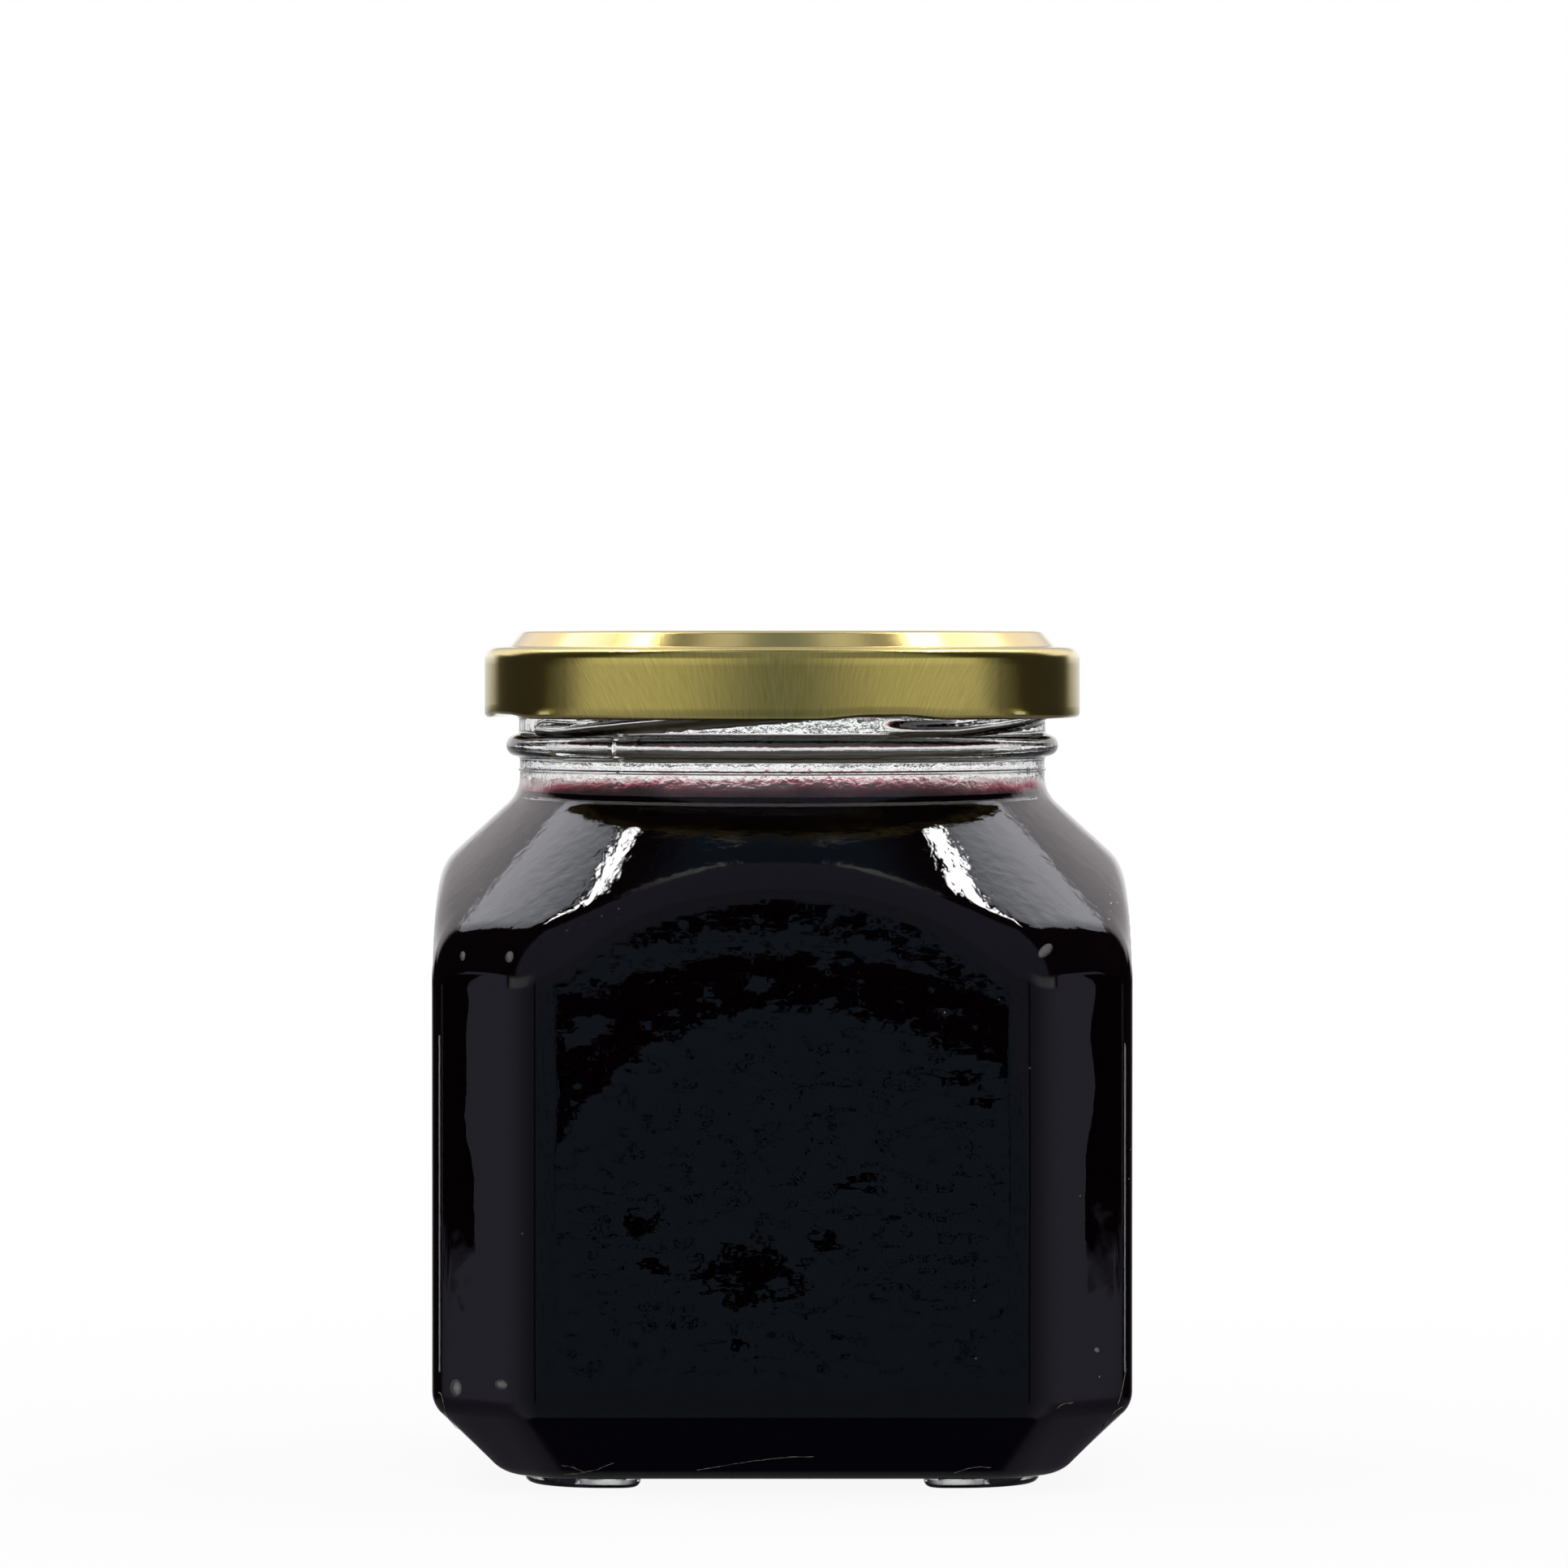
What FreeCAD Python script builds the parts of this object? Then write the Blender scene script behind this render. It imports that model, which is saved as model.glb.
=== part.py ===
"""Square glass jar of dark fruit jam, closed with a pressed metal lug lid.

Millimetres. +Z is up, the origin is on the table under the middle of the jar, and the front is -Y.
Three nodes, each one solid: glass_jar, jam and lid.
"""

import FreeCAD
import Part
import math
import os

# Body: a square whose four upright corners are cut off flat, leaving eight sides
BODY_WIDTH = 76.2          # across two opposite sides
CORNER_LEG = 9.8           # what a flat corner takes off each side
CORNER_ROUND = 4.2         # along the upright edges, outside
CORNER_ROUND_INSIDE = 3.0
WALL = 2.6                 # glass thickness of the sides and the shoulder
BASE_THICKNESS = 3.6       # glass between the underside and the jam
HEEL_RISE = 8.0            # height of the band that slopes in at 45 degrees round the bottom
HEEL_ROUND = 3.4           # where that band meets the sides
UNDER_ROUND = 4.4          # where it meets the underside

# Underside: one L-shaped foot below each corner, and a shallow dish in the middle
FOOT_HEIGHT = 1.1
FOOT_INSET = 1.9           # from the edge of the underside to a foot
FOOT_WIDTH = 5.5
FOOT_ARM = 12.8            # from the outside of the corner to the end of each arm
FOOT_CORNER_ROUND = 9.0
FOOT_END_ROUND = 2.3
FOOT_EDGE_ROUND = 0.8
DISH_RADIUS = 19.0
DISH_DEPTH = 1.2

# Shoulder: a cone round the jar's axis that the flat sides cut into arches
SHOULDER_FALL = 42.3       # degrees below the horizontal
SHOULDER_ROUND = 5.0       # where the cone meets the sides, outside
SHOULDER_ROUND_INSIDE = 2.8
NECK_ROOT_HEIGHT = 75.2    # where the cone would meet the neck if the hollow were sharp
NECK_ROUND = 5.2           # hollow between the cone and the neck

# Neck and its carrying bead
NECK_RADIUS = 29.3
NECK_WALL = 2.6
NECK_LENGTH = 17.65        # from the root to the rim
RIM_ROUND = 1.1
BEAD_RISE = 5.2            # from the root to the middle of the bead
BEAD_THICKNESS = 2.4
BEAD_REACH = 1.5           # beyond the neck
BEAD_ROUND = 1.15

# Thread: interrupted starts that run level for a little and then climb
THREAD_STARTS = 4
THREAD_FIRST_ANGLE = 24.0  # lower end of the first start, from the front towards +X
THREAD_SPAN = 96.0         # degrees from the lower to the upper end
THREAD_LEVEL_SPAN = 15.0   # degrees that run level
THREAD_CLIMB = 0.044       # mm for each degree after that
THREAD_RISE = 6.3          # from the root to the thread's underside at its lower end
THREAD_THICKNESS = 1.6
THREAD_ROUND_PART = 1.28   # of that thickness, the width of the round crest
THREAD_ROOT_WIDTH = 2.24   # where the flanks end, inside the glass of the neck
THREAD_ROOT_DEPTH = 0.87   # how far inside
THREAD_REACH = 1.4         # beyond the neck
THREAD_STATIONS = 13
THREAD_END_SPAN = 3.0      # degrees over which an end grows out of the neck

# Jam
FILL_RISE = 0.4            # from the root to the level of the jam inside the neck

# Lid: one disc of drawn sheet metal with a rolled edge, of which four lugs are folded in
LID_METAL = 0.25
SKIRT_GAP = 3.65           # from the neck to the inside of the skirt
SKIRT_RISE = 8.3           # from the neck's root to the lid's lower edge
SKIRT_ROUND = 1.2          # between the skirt and the ledge
LEDGE_DROP = 1.75          # from the top of the raised ring to the ledge outside it
CREST_SETBACK = 0.2        # outer edge of the raised ring, inside the neck's outside
CREST_OVERHANG = 0.7       # inner edge of the raised ring, inside the neck's bore
CREST_SLOPE = 1.5          # radial length of the slope from the raised ring to the ledge
PANEL_DROP = 0.8           # from the top of the raised ring to the middle panel
PANEL_SLOPE = 1.0
CURL_RADIUS = 0.55         # section of the rolled edge
LUG_COUNT = THREAD_STARTS
LUG_FROM_THREAD = -4.0     # degrees from a thread's lower end to the middle of a lug
LUG_SPAN = 17.0            # degrees
LUG_THICKNESS = 0.5
LUG_NECK_GAP = 0.7         # from the tip of a lug to the neck
LUG_THREAD_GAP = 0.1       # from a lug to the thread above it
LUG_EDGE_LIFT = 0.5        # how far the skirt's lower edge rises over a lug
LUG_EDGE_WIDTH = 15.0      # width of that rise

HALF_WIDTH = BODY_WIDTH / 2
NECK_BORE = NECK_RADIUS - NECK_WALL
RIM_HEIGHT = NECK_ROOT_HEIGHT + NECK_LENGTH
BEAD_HEIGHT = NECK_ROOT_HEIGHT + BEAD_RISE
THREAD_LOW_EDGE = NECK_ROOT_HEIGHT + THREAD_RISE
FILL_HEIGHT = NECK_ROOT_HEIGHT + FILL_RISE
LID_RADIUS = NECK_RADIUS + SKIRT_GAP + LID_METAL
LID_LOWER_EDGE = NECK_ROOT_HEIGHT + SKIRT_RISE
OVERRUN = 5.0              # how far a cutting shape runs past what it cuts
CLOSE = 1e-4               # two heights or radii nearer than this are the same

UP = FreeCAD.Vector(0, 0, 1)
CENTRE = FreeCAD.Vector(0, 0, 0)


def turned(points):
    """The solid that a closed half section of (radius, height) pairs makes round the jar's axis."""
    corners = [FreeCAD.Vector(radius, 0, height) for radius, height in points]
    outline = Part.makePolygon(corners + corners[:1])
    return Part.Face(outline).revolve(CENTRE, UP, 360)


def rings(shape, radius, height):
    """The edges of a turned shape that run round the jar's axis at a radius and a height."""
    found = []
    for edge in shape.Edges:
        box = edge.BoundBox
        level = box.ZLength < CLOSE and abs(box.ZMin - height) < CLOSE
        start = edge.valueAt(edge.FirstParameter)
        if level and abs(math.hypot(start.x, start.y) - radius) < CLOSE:
            found.append(edge)
    return found


def level_edges(shape, height):
    """The edges of a shape that lie all along at one height."""
    return [edge for edge in shape.Edges
            if edge.BoundBox.ZLength < CLOSE and abs(edge.BoundBox.ZMin - height) < CLOSE]


def upright_edges(shape, x, y):
    """The vertical edges of a shape over one point of the ground."""
    found = []
    for edge in shape.Edges:
        box = edge.BoundBox
        here = abs(box.XMin - x) < CLOSE and abs(box.YMin - y) < CLOSE
        if here and box.XLength < CLOSE and box.YLength < CLOSE:
            found.append(edge)
    return found


def facing(angle):
    """Turn that brings +X to a place on the jar, in degrees from the front (-Y) towards +X."""
    return FreeCAD.Rotation(UP, angle - 90)


def around(shape, count, first_angle):
    """Copies of a shape made at +X, spaced evenly round the jar from a first angle."""
    copies = []
    for i in range(count):
        copy = shape.copy()
        turn = facing(first_angle + 360 * i / count)
        copy.Placement = FreeCAD.Placement(CENTRE, turn).multiply(copy.Placement)
        copies.append(copy)
    return copies


# Body, outside and inside

def inset_leg(inset):
    """What the flat corner takes off each side on an octagon that lies inside the outer one."""
    return CORNER_LEG - (2 - math.sqrt(2)) * inset


def rounded_octagon(inset, radius, height):
    """Closed wire at a height: the body's outline moved in by inset, with rounded angles."""
    half_width = HALF_WIDTH - inset
    reach = half_width - inset_leg(inset)
    corners = []
    for quarter in range(4):
        turn = FreeCAD.Rotation(UP, 90 * quarter)
        for y in (-reach, reach):
            corners.append(turn.multVec(FreeCAD.Vector(half_width, y, height)))
    half_turn = math.radians(22.5)
    setback = radius * math.tan(half_turn)
    bulge = radius / math.cos(half_turn) - radius
    arcs = []
    for i, corner in enumerate(corners):
        before = (corners[i - 1] - corner).normalize()
        after = (corners[(i + 1) % len(corners)] - corner).normalize()
        inward = (before + after).normalize()
        arcs.append((corner + before * setback, corner + inward * bulge, corner + after * setback))
    edges = []
    for i, (start, middle, end) in enumerate(arcs):
        next_start = arcs[(i + 1) % len(arcs)][0]
        edges.append(Part.Arc(start, middle, end).toShape())
        edges.append(Part.LineSegment(end, next_start).toShape())
    return Part.Wire(edges)


def shoulder_line(radius, inset):
    """Height of the shoulder cone at a radius, on the surface that lies inset below the outer one."""
    fall = math.radians(SHOULDER_FALL)
    return NECK_ROOT_HEIGHT - (radius - NECK_RADIUS) * math.tan(fall) - inset / math.cos(fall)


def shoulder_turning(neck_radius, neck_round, inset, top):
    """Turned shape that trims the body to a cone below and a round neck above."""
    wide = BODY_WIDTH
    root = shoulder_line(neck_radius, inset)
    turning = turned([
        (0, -OVERRUN),
        (wide, -OVERRUN),
        (wide, shoulder_line(wide, inset)),
        (neck_radius, root),
        (neck_radius, top),
        (0, top),
    ])
    return turning.makeFillet(neck_round, rings(turning, neck_radius, root))


def body_block(inset, corner_round, floor):
    """Body without its shoulder: straight sides above, sloping in at 45 degrees to the floor."""
    heel_top = FOOT_HEIGHT + HEEL_RISE + inset * math.tan(math.radians(22.5))
    low = rounded_octagon(inset + heel_top - floor, corner_round, floor)
    middle = rounded_octagon(inset, corner_round, heel_top)
    heel = Part.makeLoft([low, middle], True, True)
    sides = Part.Face(middle).extrude(UP * (RIM_HEIGHT - heel_top))
    block = heel.fuse(sides)
    block = block.makeFillet(HEEL_ROUND, level_edges(block, heel_top))
    return block.makeFillet(UNDER_ROUND, level_edges(block, floor))


def shoulder_edges(shape, inset):
    """The edges where the shoulder cone meets the sides."""
    found = []
    for edge in shape.Edges:
        middle = edge.valueAt((edge.FirstParameter + edge.LastParameter) / 2)
        radius = math.hypot(middle.x, middle.y)
        on_cone = abs(middle.z - shoulder_line(radius, inset)) < CLOSE
        if on_cone and radius > HALF_WIDTH - inset - CLOSE:
            found.append(edge)
    return found


def outside_form():
    """The outside of the glass, with no bead, thread or feet."""
    turning = shoulder_turning(NECK_RADIUS, NECK_ROUND, 0, RIM_HEIGHT)
    form = body_block(0, CORNER_ROUND, FOOT_HEIGHT).common(turning)
    return form.makeFillet(SHOULDER_ROUND, shoulder_edges(form, 0))


def cavity(top):
    """Everything inside the glass up to a height."""
    turning = shoulder_turning(NECK_BORE, NECK_ROUND + WALL, WALL, top)
    form = body_block(WALL, CORNER_ROUND_INSIDE, FOOT_HEIGHT + BASE_THICKNESS).common(turning)
    return form.makeFillet(SHOULDER_ROUND_INSIDE, shoulder_edges(form, WALL))


# Neck

def bead():
    """The carrying bead round the neck."""
    radius = NECK_RADIUS + BEAD_REACH
    low = BEAD_HEIGHT - BEAD_THICKNESS / 2
    high = BEAD_HEIGHT + BEAD_THICKNESS / 2
    ring = turned([(NECK_BORE, low), (radius, low), (radius, high), (NECK_BORE, high)])
    edges = rings(ring, radius, low) + rings(ring, radius, high)
    return ring.makeFillet(BEAD_ROUND, edges)


def thread_underside(angle):
    """Height of a thread's underside, an angle past its lower end."""
    return THREAD_LOW_EDGE + THREAD_CLIMB * max(0, angle - THREAD_LEVEL_SPAN)


def thread_section(angle):
    """Closed wire across a thread, an angle past its lower end: two flanks and a round crest."""
    from_end = min(angle, THREAD_SPAN - angle) / THREAD_END_SPAN
    share = math.sin(math.radians(90 * min(1, from_end)))
    root = NECK_RADIUS - THREAD_ROOT_DEPTH
    crest = NECK_RADIUS + THREAD_REACH * share
    height = thread_underside(angle) + THREAD_THICKNESS / 2
    round_radius = THREAD_ROUND_PART / 2
    low_root = FreeCAD.Vector(root, 0, height - THREAD_ROOT_WIDTH / 2)
    high_root = FreeCAD.Vector(root, 0, height + THREAD_ROOT_WIDTH / 2)
    low = FreeCAD.Vector(crest - round_radius, 0, height - round_radius)
    tip = FreeCAD.Vector(crest, 0, height)
    high = FreeCAD.Vector(crest - round_radius, 0, height + round_radius)
    section = Part.Wire([
        Part.LineSegment(low_root, low).toShape(),
        Part.Arc(low, tip, high).toShape(),
        Part.LineSegment(high, high_root).toShape(),
        Part.LineSegment(high_root, low_root).toShape(),
    ])
    section.rotate(CENTRE, UP, angle)
    return section


def thread_start():
    """One start of the thread, with its lower end at +X."""
    inner = THREAD_SPAN - 2 * THREAD_END_SPAN
    angles = [0, THREAD_END_SPAN / 2]
    angles += [THREAD_END_SPAN + inner * i / (THREAD_STATIONS - 1) for i in range(THREAD_STATIONS)]
    angles += [THREAD_SPAN - THREAD_END_SPAN / 2, THREAD_SPAN]
    return Part.makeLoft([thread_section(angle) for angle in angles], True, False)


# Underside

def foot():
    """L-shaped foot below the corner at +X +Y, sunk into the glass by its own height."""
    outside = HALF_WIDTH - HEEL_RISE - FOOT_INSET
    inside = outside - FOOT_WIDTH
    end = outside - FOOT_ARM
    corners = [(end, outside), (outside, outside), (outside, end), (inside, end),
               (inside, inside), (end, inside)]
    points = [FreeCAD.Vector(x, y, 0) for x, y in corners]
    pad = Part.Face(Part.makePolygon(points + points[:1])).extrude(UP * 2 * FOOT_HEIGHT)
    pad = pad.makeFillet(FOOT_CORNER_ROUND, upright_edges(pad, outside, outside))
    pad = pad.makeFillet(FOOT_CORNER_ROUND - FOOT_WIDTH, upright_edges(pad, inside, inside))
    for x, y in ((end, outside), (outside, end), (inside, end), (end, inside)):
        pad = pad.makeFillet(FOOT_END_ROUND, upright_edges(pad, x, y))
    return pad.makeFillet(FOOT_EDGE_ROUND, level_edges(pad, 0))


def dish():
    """Ball that presses a shallow dish into the underside."""
    radius = (DISH_RADIUS ** 2 + DISH_DEPTH ** 2) / (2 * DISH_DEPTH)
    return Part.makeSphere(radius, FreeCAD.Vector(0, 0, FOOT_HEIGHT + DISH_DEPTH - radius))


# The three nodes

def glass_jar():
    """The jar: blown body, pressed neck with bead and thread, and four feet."""
    glass = outside_form().fuse([bead()] + around(foot(), 4, 90))
    glass = glass.cut([cavity(RIM_HEIGHT + OVERRUN), dish()])
    rim = rings(glass, NECK_RADIUS, RIM_HEIGHT) + rings(glass, NECK_BORE, RIM_HEIGHT)
    glass = glass.makeFillet(RIM_ROUND, rim)
    threads = around(thread_start(), THREAD_STARTS, THREAD_FIRST_ANGLE)
    return glass.fuse(threads).removeSplitter()


def jam():
    """Jam that fills the cavity up to its level."""
    full = cavity(RIM_HEIGHT + OVERRUN)
    above = Part.makeBox(BODY_WIDTH, BODY_WIDTH, RIM_HEIGHT,
                         FreeCAD.Vector(-HALF_WIDTH, -HALF_WIDTH, FILL_HEIGHT))
    return full.cut(above)


def lid_side(radius_change, height_change):
    """Half section of one face of the lid's sheet, from the skirt's edge to the axis."""
    top = RIM_HEIGHT + LID_METAL + height_change
    skirt = LID_RADIUS + radius_change
    ledge = top - LEDGE_DROP
    crest_outside = NECK_RADIUS - CREST_SETBACK + radius_change
    crest_inside = NECK_BORE - CREST_OVERHANG - radius_change
    return [
        (skirt, LID_LOWER_EDGE + CURL_RADIUS),
        (skirt, ledge),
        (crest_outside + CREST_SLOPE, ledge),
        (crest_outside, top),
        (crest_inside, top),
        (crest_inside - PANEL_SLOPE, top - PANEL_DROP),
        (0, top - PANEL_DROP),
    ]


def lug():
    """One lug at +X: a tongue folded in under the thread from the lid's rolled edge."""
    leading = -LUG_FROM_THREAD + LUG_SPAN / 2
    past_lower_end = 360 / THREAD_STARTS - leading
    high = thread_underside(past_lower_end) - LUG_THREAD_GAP
    low = high - LUG_THICKNESS
    tip = NECK_RADIUS + LUG_NECK_GAP
    root = LID_RADIUS - LID_METAL / 2
    outline = [(tip, low), (root, low), (root, high), (tip, high)]
    corners = [FreeCAD.Vector(radius, 0, height) for radius, height in outline]
    face = Part.Face(Part.makePolygon(corners + corners[:1]))
    face.rotate(CENTRE, UP, -LUG_SPAN / 2)
    return face.revolve(CENTRE, UP, LUG_SPAN)


def lug_lift():
    """Cutter at +X that lifts the skirt's lower edge in a shallow arch over a lug."""
    half = LUG_EDGE_WIDTH / 2
    radius = (half ** 2 + LUG_EDGE_LIFT ** 2) / (2 * LUG_EDGE_LIFT)
    start = NECK_RADIUS + LUG_NECK_GAP
    base = FreeCAD.Vector(start, 0, LID_LOWER_EDGE + LUG_EDGE_LIFT - radius)
    return Part.makeCylinder(radius, LID_RADIUS + OVERRUN - start, base, FreeCAD.Vector(1, 0, 0))


def lid():
    """The lid: sheet with a raised ring over the rim, a rolled lower edge and four lugs."""
    outer = lid_side(0, 0)
    inner = lid_side(-LID_METAL, -LID_METAL)
    sheet = turned(outer + inner[::-1])
    skirt_radius, ledge = outer[1]
    sheet = sheet.makeFillet(SKIRT_ROUND, rings(sheet, skirt_radius, ledge))
    sheet = sheet.makeFillet(SKIRT_ROUND - LID_METAL,
                             rings(sheet, skirt_radius - LID_METAL, ledge - LID_METAL))
    curl = Part.makeTorus(LID_RADIUS - CURL_RADIUS, CURL_RADIUS,
                          FreeCAD.Vector(0, 0, LID_LOWER_EDGE + CURL_RADIUS))
    first = THREAD_FIRST_ANGLE + LUG_FROM_THREAD
    metal = sheet.fuse(curl)
    metal = metal.cut(around(lug_lift(), LUG_COUNT, first))
    return metal.fuse(around(lug(), LUG_COUNT, first)).removeSplitter()


os.makedirs("parts", exist_ok=True)
for name, shape in (("glass_jar", glass_jar()), ("jam", jam()), ("lid", lid())):
    shape.exportStep(f"parts/{name}.step")
    volume = round(shape.Volume / 1000, 2)
    print(name, "solids", len(shape.Solids), "valid", shape.isValid(), "cm3", volume)
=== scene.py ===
"""Square glass jar of dark fruit jam with a gold metal lid, dressed on its CAD frame.

Metres, +Z up, the front is -Y. Sizes of the pieces are written in millimetres times MM.
"""

import math

import bpy
from mathutils import Matrix, Vector, noise


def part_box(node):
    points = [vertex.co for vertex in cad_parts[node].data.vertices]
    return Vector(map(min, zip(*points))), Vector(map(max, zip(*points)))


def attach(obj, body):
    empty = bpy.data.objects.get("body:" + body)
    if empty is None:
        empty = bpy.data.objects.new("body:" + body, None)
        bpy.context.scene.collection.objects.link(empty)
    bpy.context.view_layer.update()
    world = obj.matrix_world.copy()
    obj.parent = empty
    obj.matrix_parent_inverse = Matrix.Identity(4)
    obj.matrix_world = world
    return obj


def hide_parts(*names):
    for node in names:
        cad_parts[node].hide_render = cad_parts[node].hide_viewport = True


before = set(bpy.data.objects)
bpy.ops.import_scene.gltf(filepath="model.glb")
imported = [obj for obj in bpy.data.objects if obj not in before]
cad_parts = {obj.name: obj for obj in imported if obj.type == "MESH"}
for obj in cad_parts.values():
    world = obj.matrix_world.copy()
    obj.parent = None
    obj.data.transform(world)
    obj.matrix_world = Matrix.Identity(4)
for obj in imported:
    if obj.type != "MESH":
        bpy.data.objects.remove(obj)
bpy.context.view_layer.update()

# ---------------------------------------------------------------------------------------------
# Glass jar. Clear soda-lime glass, blown into a square mould with cut corners, with the neck,
# its bead and its thread pressed first. The flats stay a little wavy from the blowing, and the
# mould leaves a fine parting line round the neck.
# ---------------------------------------------------------------------------------------------
MM = 0.001
jar_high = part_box("glass_jar")[1]
HALF = jar_high.x                       # half the width across flats
RIM = jar_high.z                        # top of the neck
FOOT = 1.1 * MM                         # height of the feet
CORNER_LEG = 9.8 * MM                   # what a flat corner takes off each side
HEEL = 8.0 * MM                         # rise and inset of the sloping band at the bottom
WALL = 2.6 * MM
BASE = 3.6 * MM
CORNER_ROUND = 4.2 * MM                 # along the upright edges, outside
KNEE_ROUND = 5 * MM                     # where the shoulder meets the flat sides
INNER_CORNER, INNER_KNEE = 3 * MM, 2.8 * MM     # the same two, inside
DISH, DISH_DEEP = 19 * MM, 1.2 * MM     # the hollow in the underside
PARTING = 77.52 * MM                    # foot of the fine line that the mould left on the neck
BEAD_LOW, BEAD_HIGH, BEAD_OUT = 79.2 * MM, 81.6 * MM, 1.5 * MM
NECK = 29.3 * MM                        # outer radius of the neck
BORE = NECK - WALL
ROOT = RIM - 17.65 * MM                 # height where cone and neck would meet
ROOT_ROUND = 4.0 * MM                   # radius of the hollow between them, outside
FALL = math.radians(42.3)               # slope of the shoulder cone
EIGHTH = math.radians(22.5)             # half the turn between two neighbouring sides


def rounded(corners, steps=6):
    """Points of a line through (x, z, radius) corners, each rounded by an arc of that radius."""
    points = []
    for i, (x, z, radius) in enumerate(corners):
        here = Vector((x, z))
        if radius == 0 or i in (0, len(corners) - 1):
            points.append(here)
            continue
        before = (Vector(corners[i - 1][:2]) - here).normalized()
        after = (Vector(corners[i + 1][:2]) - here).normalized()
        half_angle = before.angle(after) / 2
        centre = here + (before + after).normalized() * (radius / math.sin(half_angle))
        start = here + before * (radius / math.tan(half_angle)) - centre
        turn = before.cross(after)
        sweep = math.copysign(math.pi - 2 * half_angle, turn)
        for k in range(steps + 1):
            angle = -sweep * k / steps
            swung = Vector((start.x * math.cos(angle) - start.y * math.sin(angle),
                            start.x * math.sin(angle) + start.y * math.cos(angle)))
            points.append(centre + swung)
    return points


def divided(start, end, count):
    """Points that divide a straight run into count equal parts, without its start."""
    start, end = Vector(start), Vector(end)
    return [start.lerp(end, (k + 1) / count) for k in range(count)]


def line_piece(name, points):
    """A new object in edit mode: one vertex, extruded along a list of 3-D points."""
    bpy.ops.object.select_all(action="DESELECT")
    bpy.ops.mesh.primitive_plane_add(size=MM, location=(0, 0, 0))
    piece = bpy.context.object
    piece.name = name
    bpy.ops.object.mode_set(mode="EDIT")
    bpy.ops.mesh.select_mode(type="VERT")
    bpy.ops.mesh.merge(type="CENTER")
    bpy.ops.transform.translate(value=points[0])
    for here, there in zip(points, points[1:]):
        step = Vector(there) - Vector(here)
        bpy.ops.mesh.extrude_region_move(TRANSFORM_OT_translate={"value": step})
    return piece


def turned(name, outline, steps):
    """Spins a half section of (radius, height) points round the jar's axis into a skin."""
    piece = line_piece(name, [(radius, 0, height) for radius, height in outline])
    bpy.ops.mesh.select_all(action="SELECT")
    bpy.ops.mesh.spin(steps=steps, angle=2 * math.pi, center=(0, 0, 0), axis=(0, 0, 1))
    bpy.ops.mesh.select_all(action="SELECT")
    bpy.ops.mesh.remove_doubles(threshold=0.001 * MM)
    bpy.ops.object.mode_set(mode="OBJECT")
    return piece


def octagon_reach(angle, half_width, corner_round):
    """Distance from the axis to the jar's outline of a half width, in a direction."""
    quarter = math.pi / 2
    off_face = abs((angle + quarter / 2) % quarter - quarter / 2)
    leg = max(0, CORNER_LEG - (2 - math.sqrt(2)) * (HALF - half_width))
    reach = half_width - leg
    setback = corner_round * math.tan(EIGHTH)
    centre = Vector((half_width - corner_round, reach - setback))
    first = math.atan2(reach - setback, half_width)
    last_point = centre + Vector((corner_round, corner_round)) / math.sqrt(2)
    if off_face <= first:
        return half_width / math.cos(off_face)
    if off_face >= math.atan2(last_point.y, last_point.x):
        return (half_width + reach) / (math.cos(off_face) + math.sin(off_face))
    swing = off_face - math.atan2(centre.y, centre.x)
    across = centre.length * math.sin(swing)
    return centre.length * math.cos(swing) + math.sqrt(corner_round ** 2 - across ** 2)


def body_radius(angle, z, half_width, inset, corner_round, knee_round):
    """Distance from the axis to the body at a height: flat sides, round knee, shoulder cone."""
    side = octagon_reach(angle, half_width, corner_round)
    corner_share = min(1, max(0, (side / half_width - 1.1) / 0.12))
    knee_round *= 1 + 0.9 * corner_share * corner_share * (3 - 2 * corner_share)
    crossing = ROOT - inset / math.cos(FALL) - (side - NECK) * math.tan(FALL)
    above = z - crossing
    tangent = knee_round * math.tan((math.pi / 2 - FALL) / 2)
    if above <= -tangent:
        return side
    if above < tangent * math.sin(FALL):
        return side - knee_round + math.sqrt(knee_round ** 2 - (above + tangent) ** 2)
    return side - above / math.tan(FALL)


# A spun skin has even columns. They are gathered at the eight rounded edges, where the form
# turns: so many columns from the middle of a side to its rounding, across it, and beyond it.
SIDE_COLUMNS, EDGE_COLUMNS, FACET_COLUMNS = 15, 8, 4
HALF_COLUMNS = SIDE_COLUMNS + EDGE_COLUMNS + FACET_COLUMNS
COLUMNS = 8 * HALF_COLUMNS
EDGE_START, EDGE_END = math.radians(34.7), math.radians(38.9)


def gathered(angle):
    """Where the column at an even angle goes."""
    eighth = math.pi / 4
    turn, rest = divmod(angle, eighth)
    mirrored = int(turn) % 2 == 1
    column = (eighth - rest if mirrored else rest) / eighth * HALF_COLUMNS
    if column <= SIDE_COLUMNS:
        place = EDGE_START * column / SIDE_COLUMNS
    elif column <= SIDE_COLUMNS + EDGE_COLUMNS:
        place = EDGE_START + (EDGE_END - EDGE_START) * (column - SIDE_COLUMNS) / EDGE_COLUMNS
    else:
        beyond = column - SIDE_COLUMNS - EDGE_COLUMNS
        place = EDGE_END + (eighth - EDGE_END) * beyond / FACET_COLUMNS
    return turn * eighth + (eighth - place if mirrored else place)


def heel_top(inset):
    return FOOT + HEEL + inset * math.tan(EIGHTH)


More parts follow.
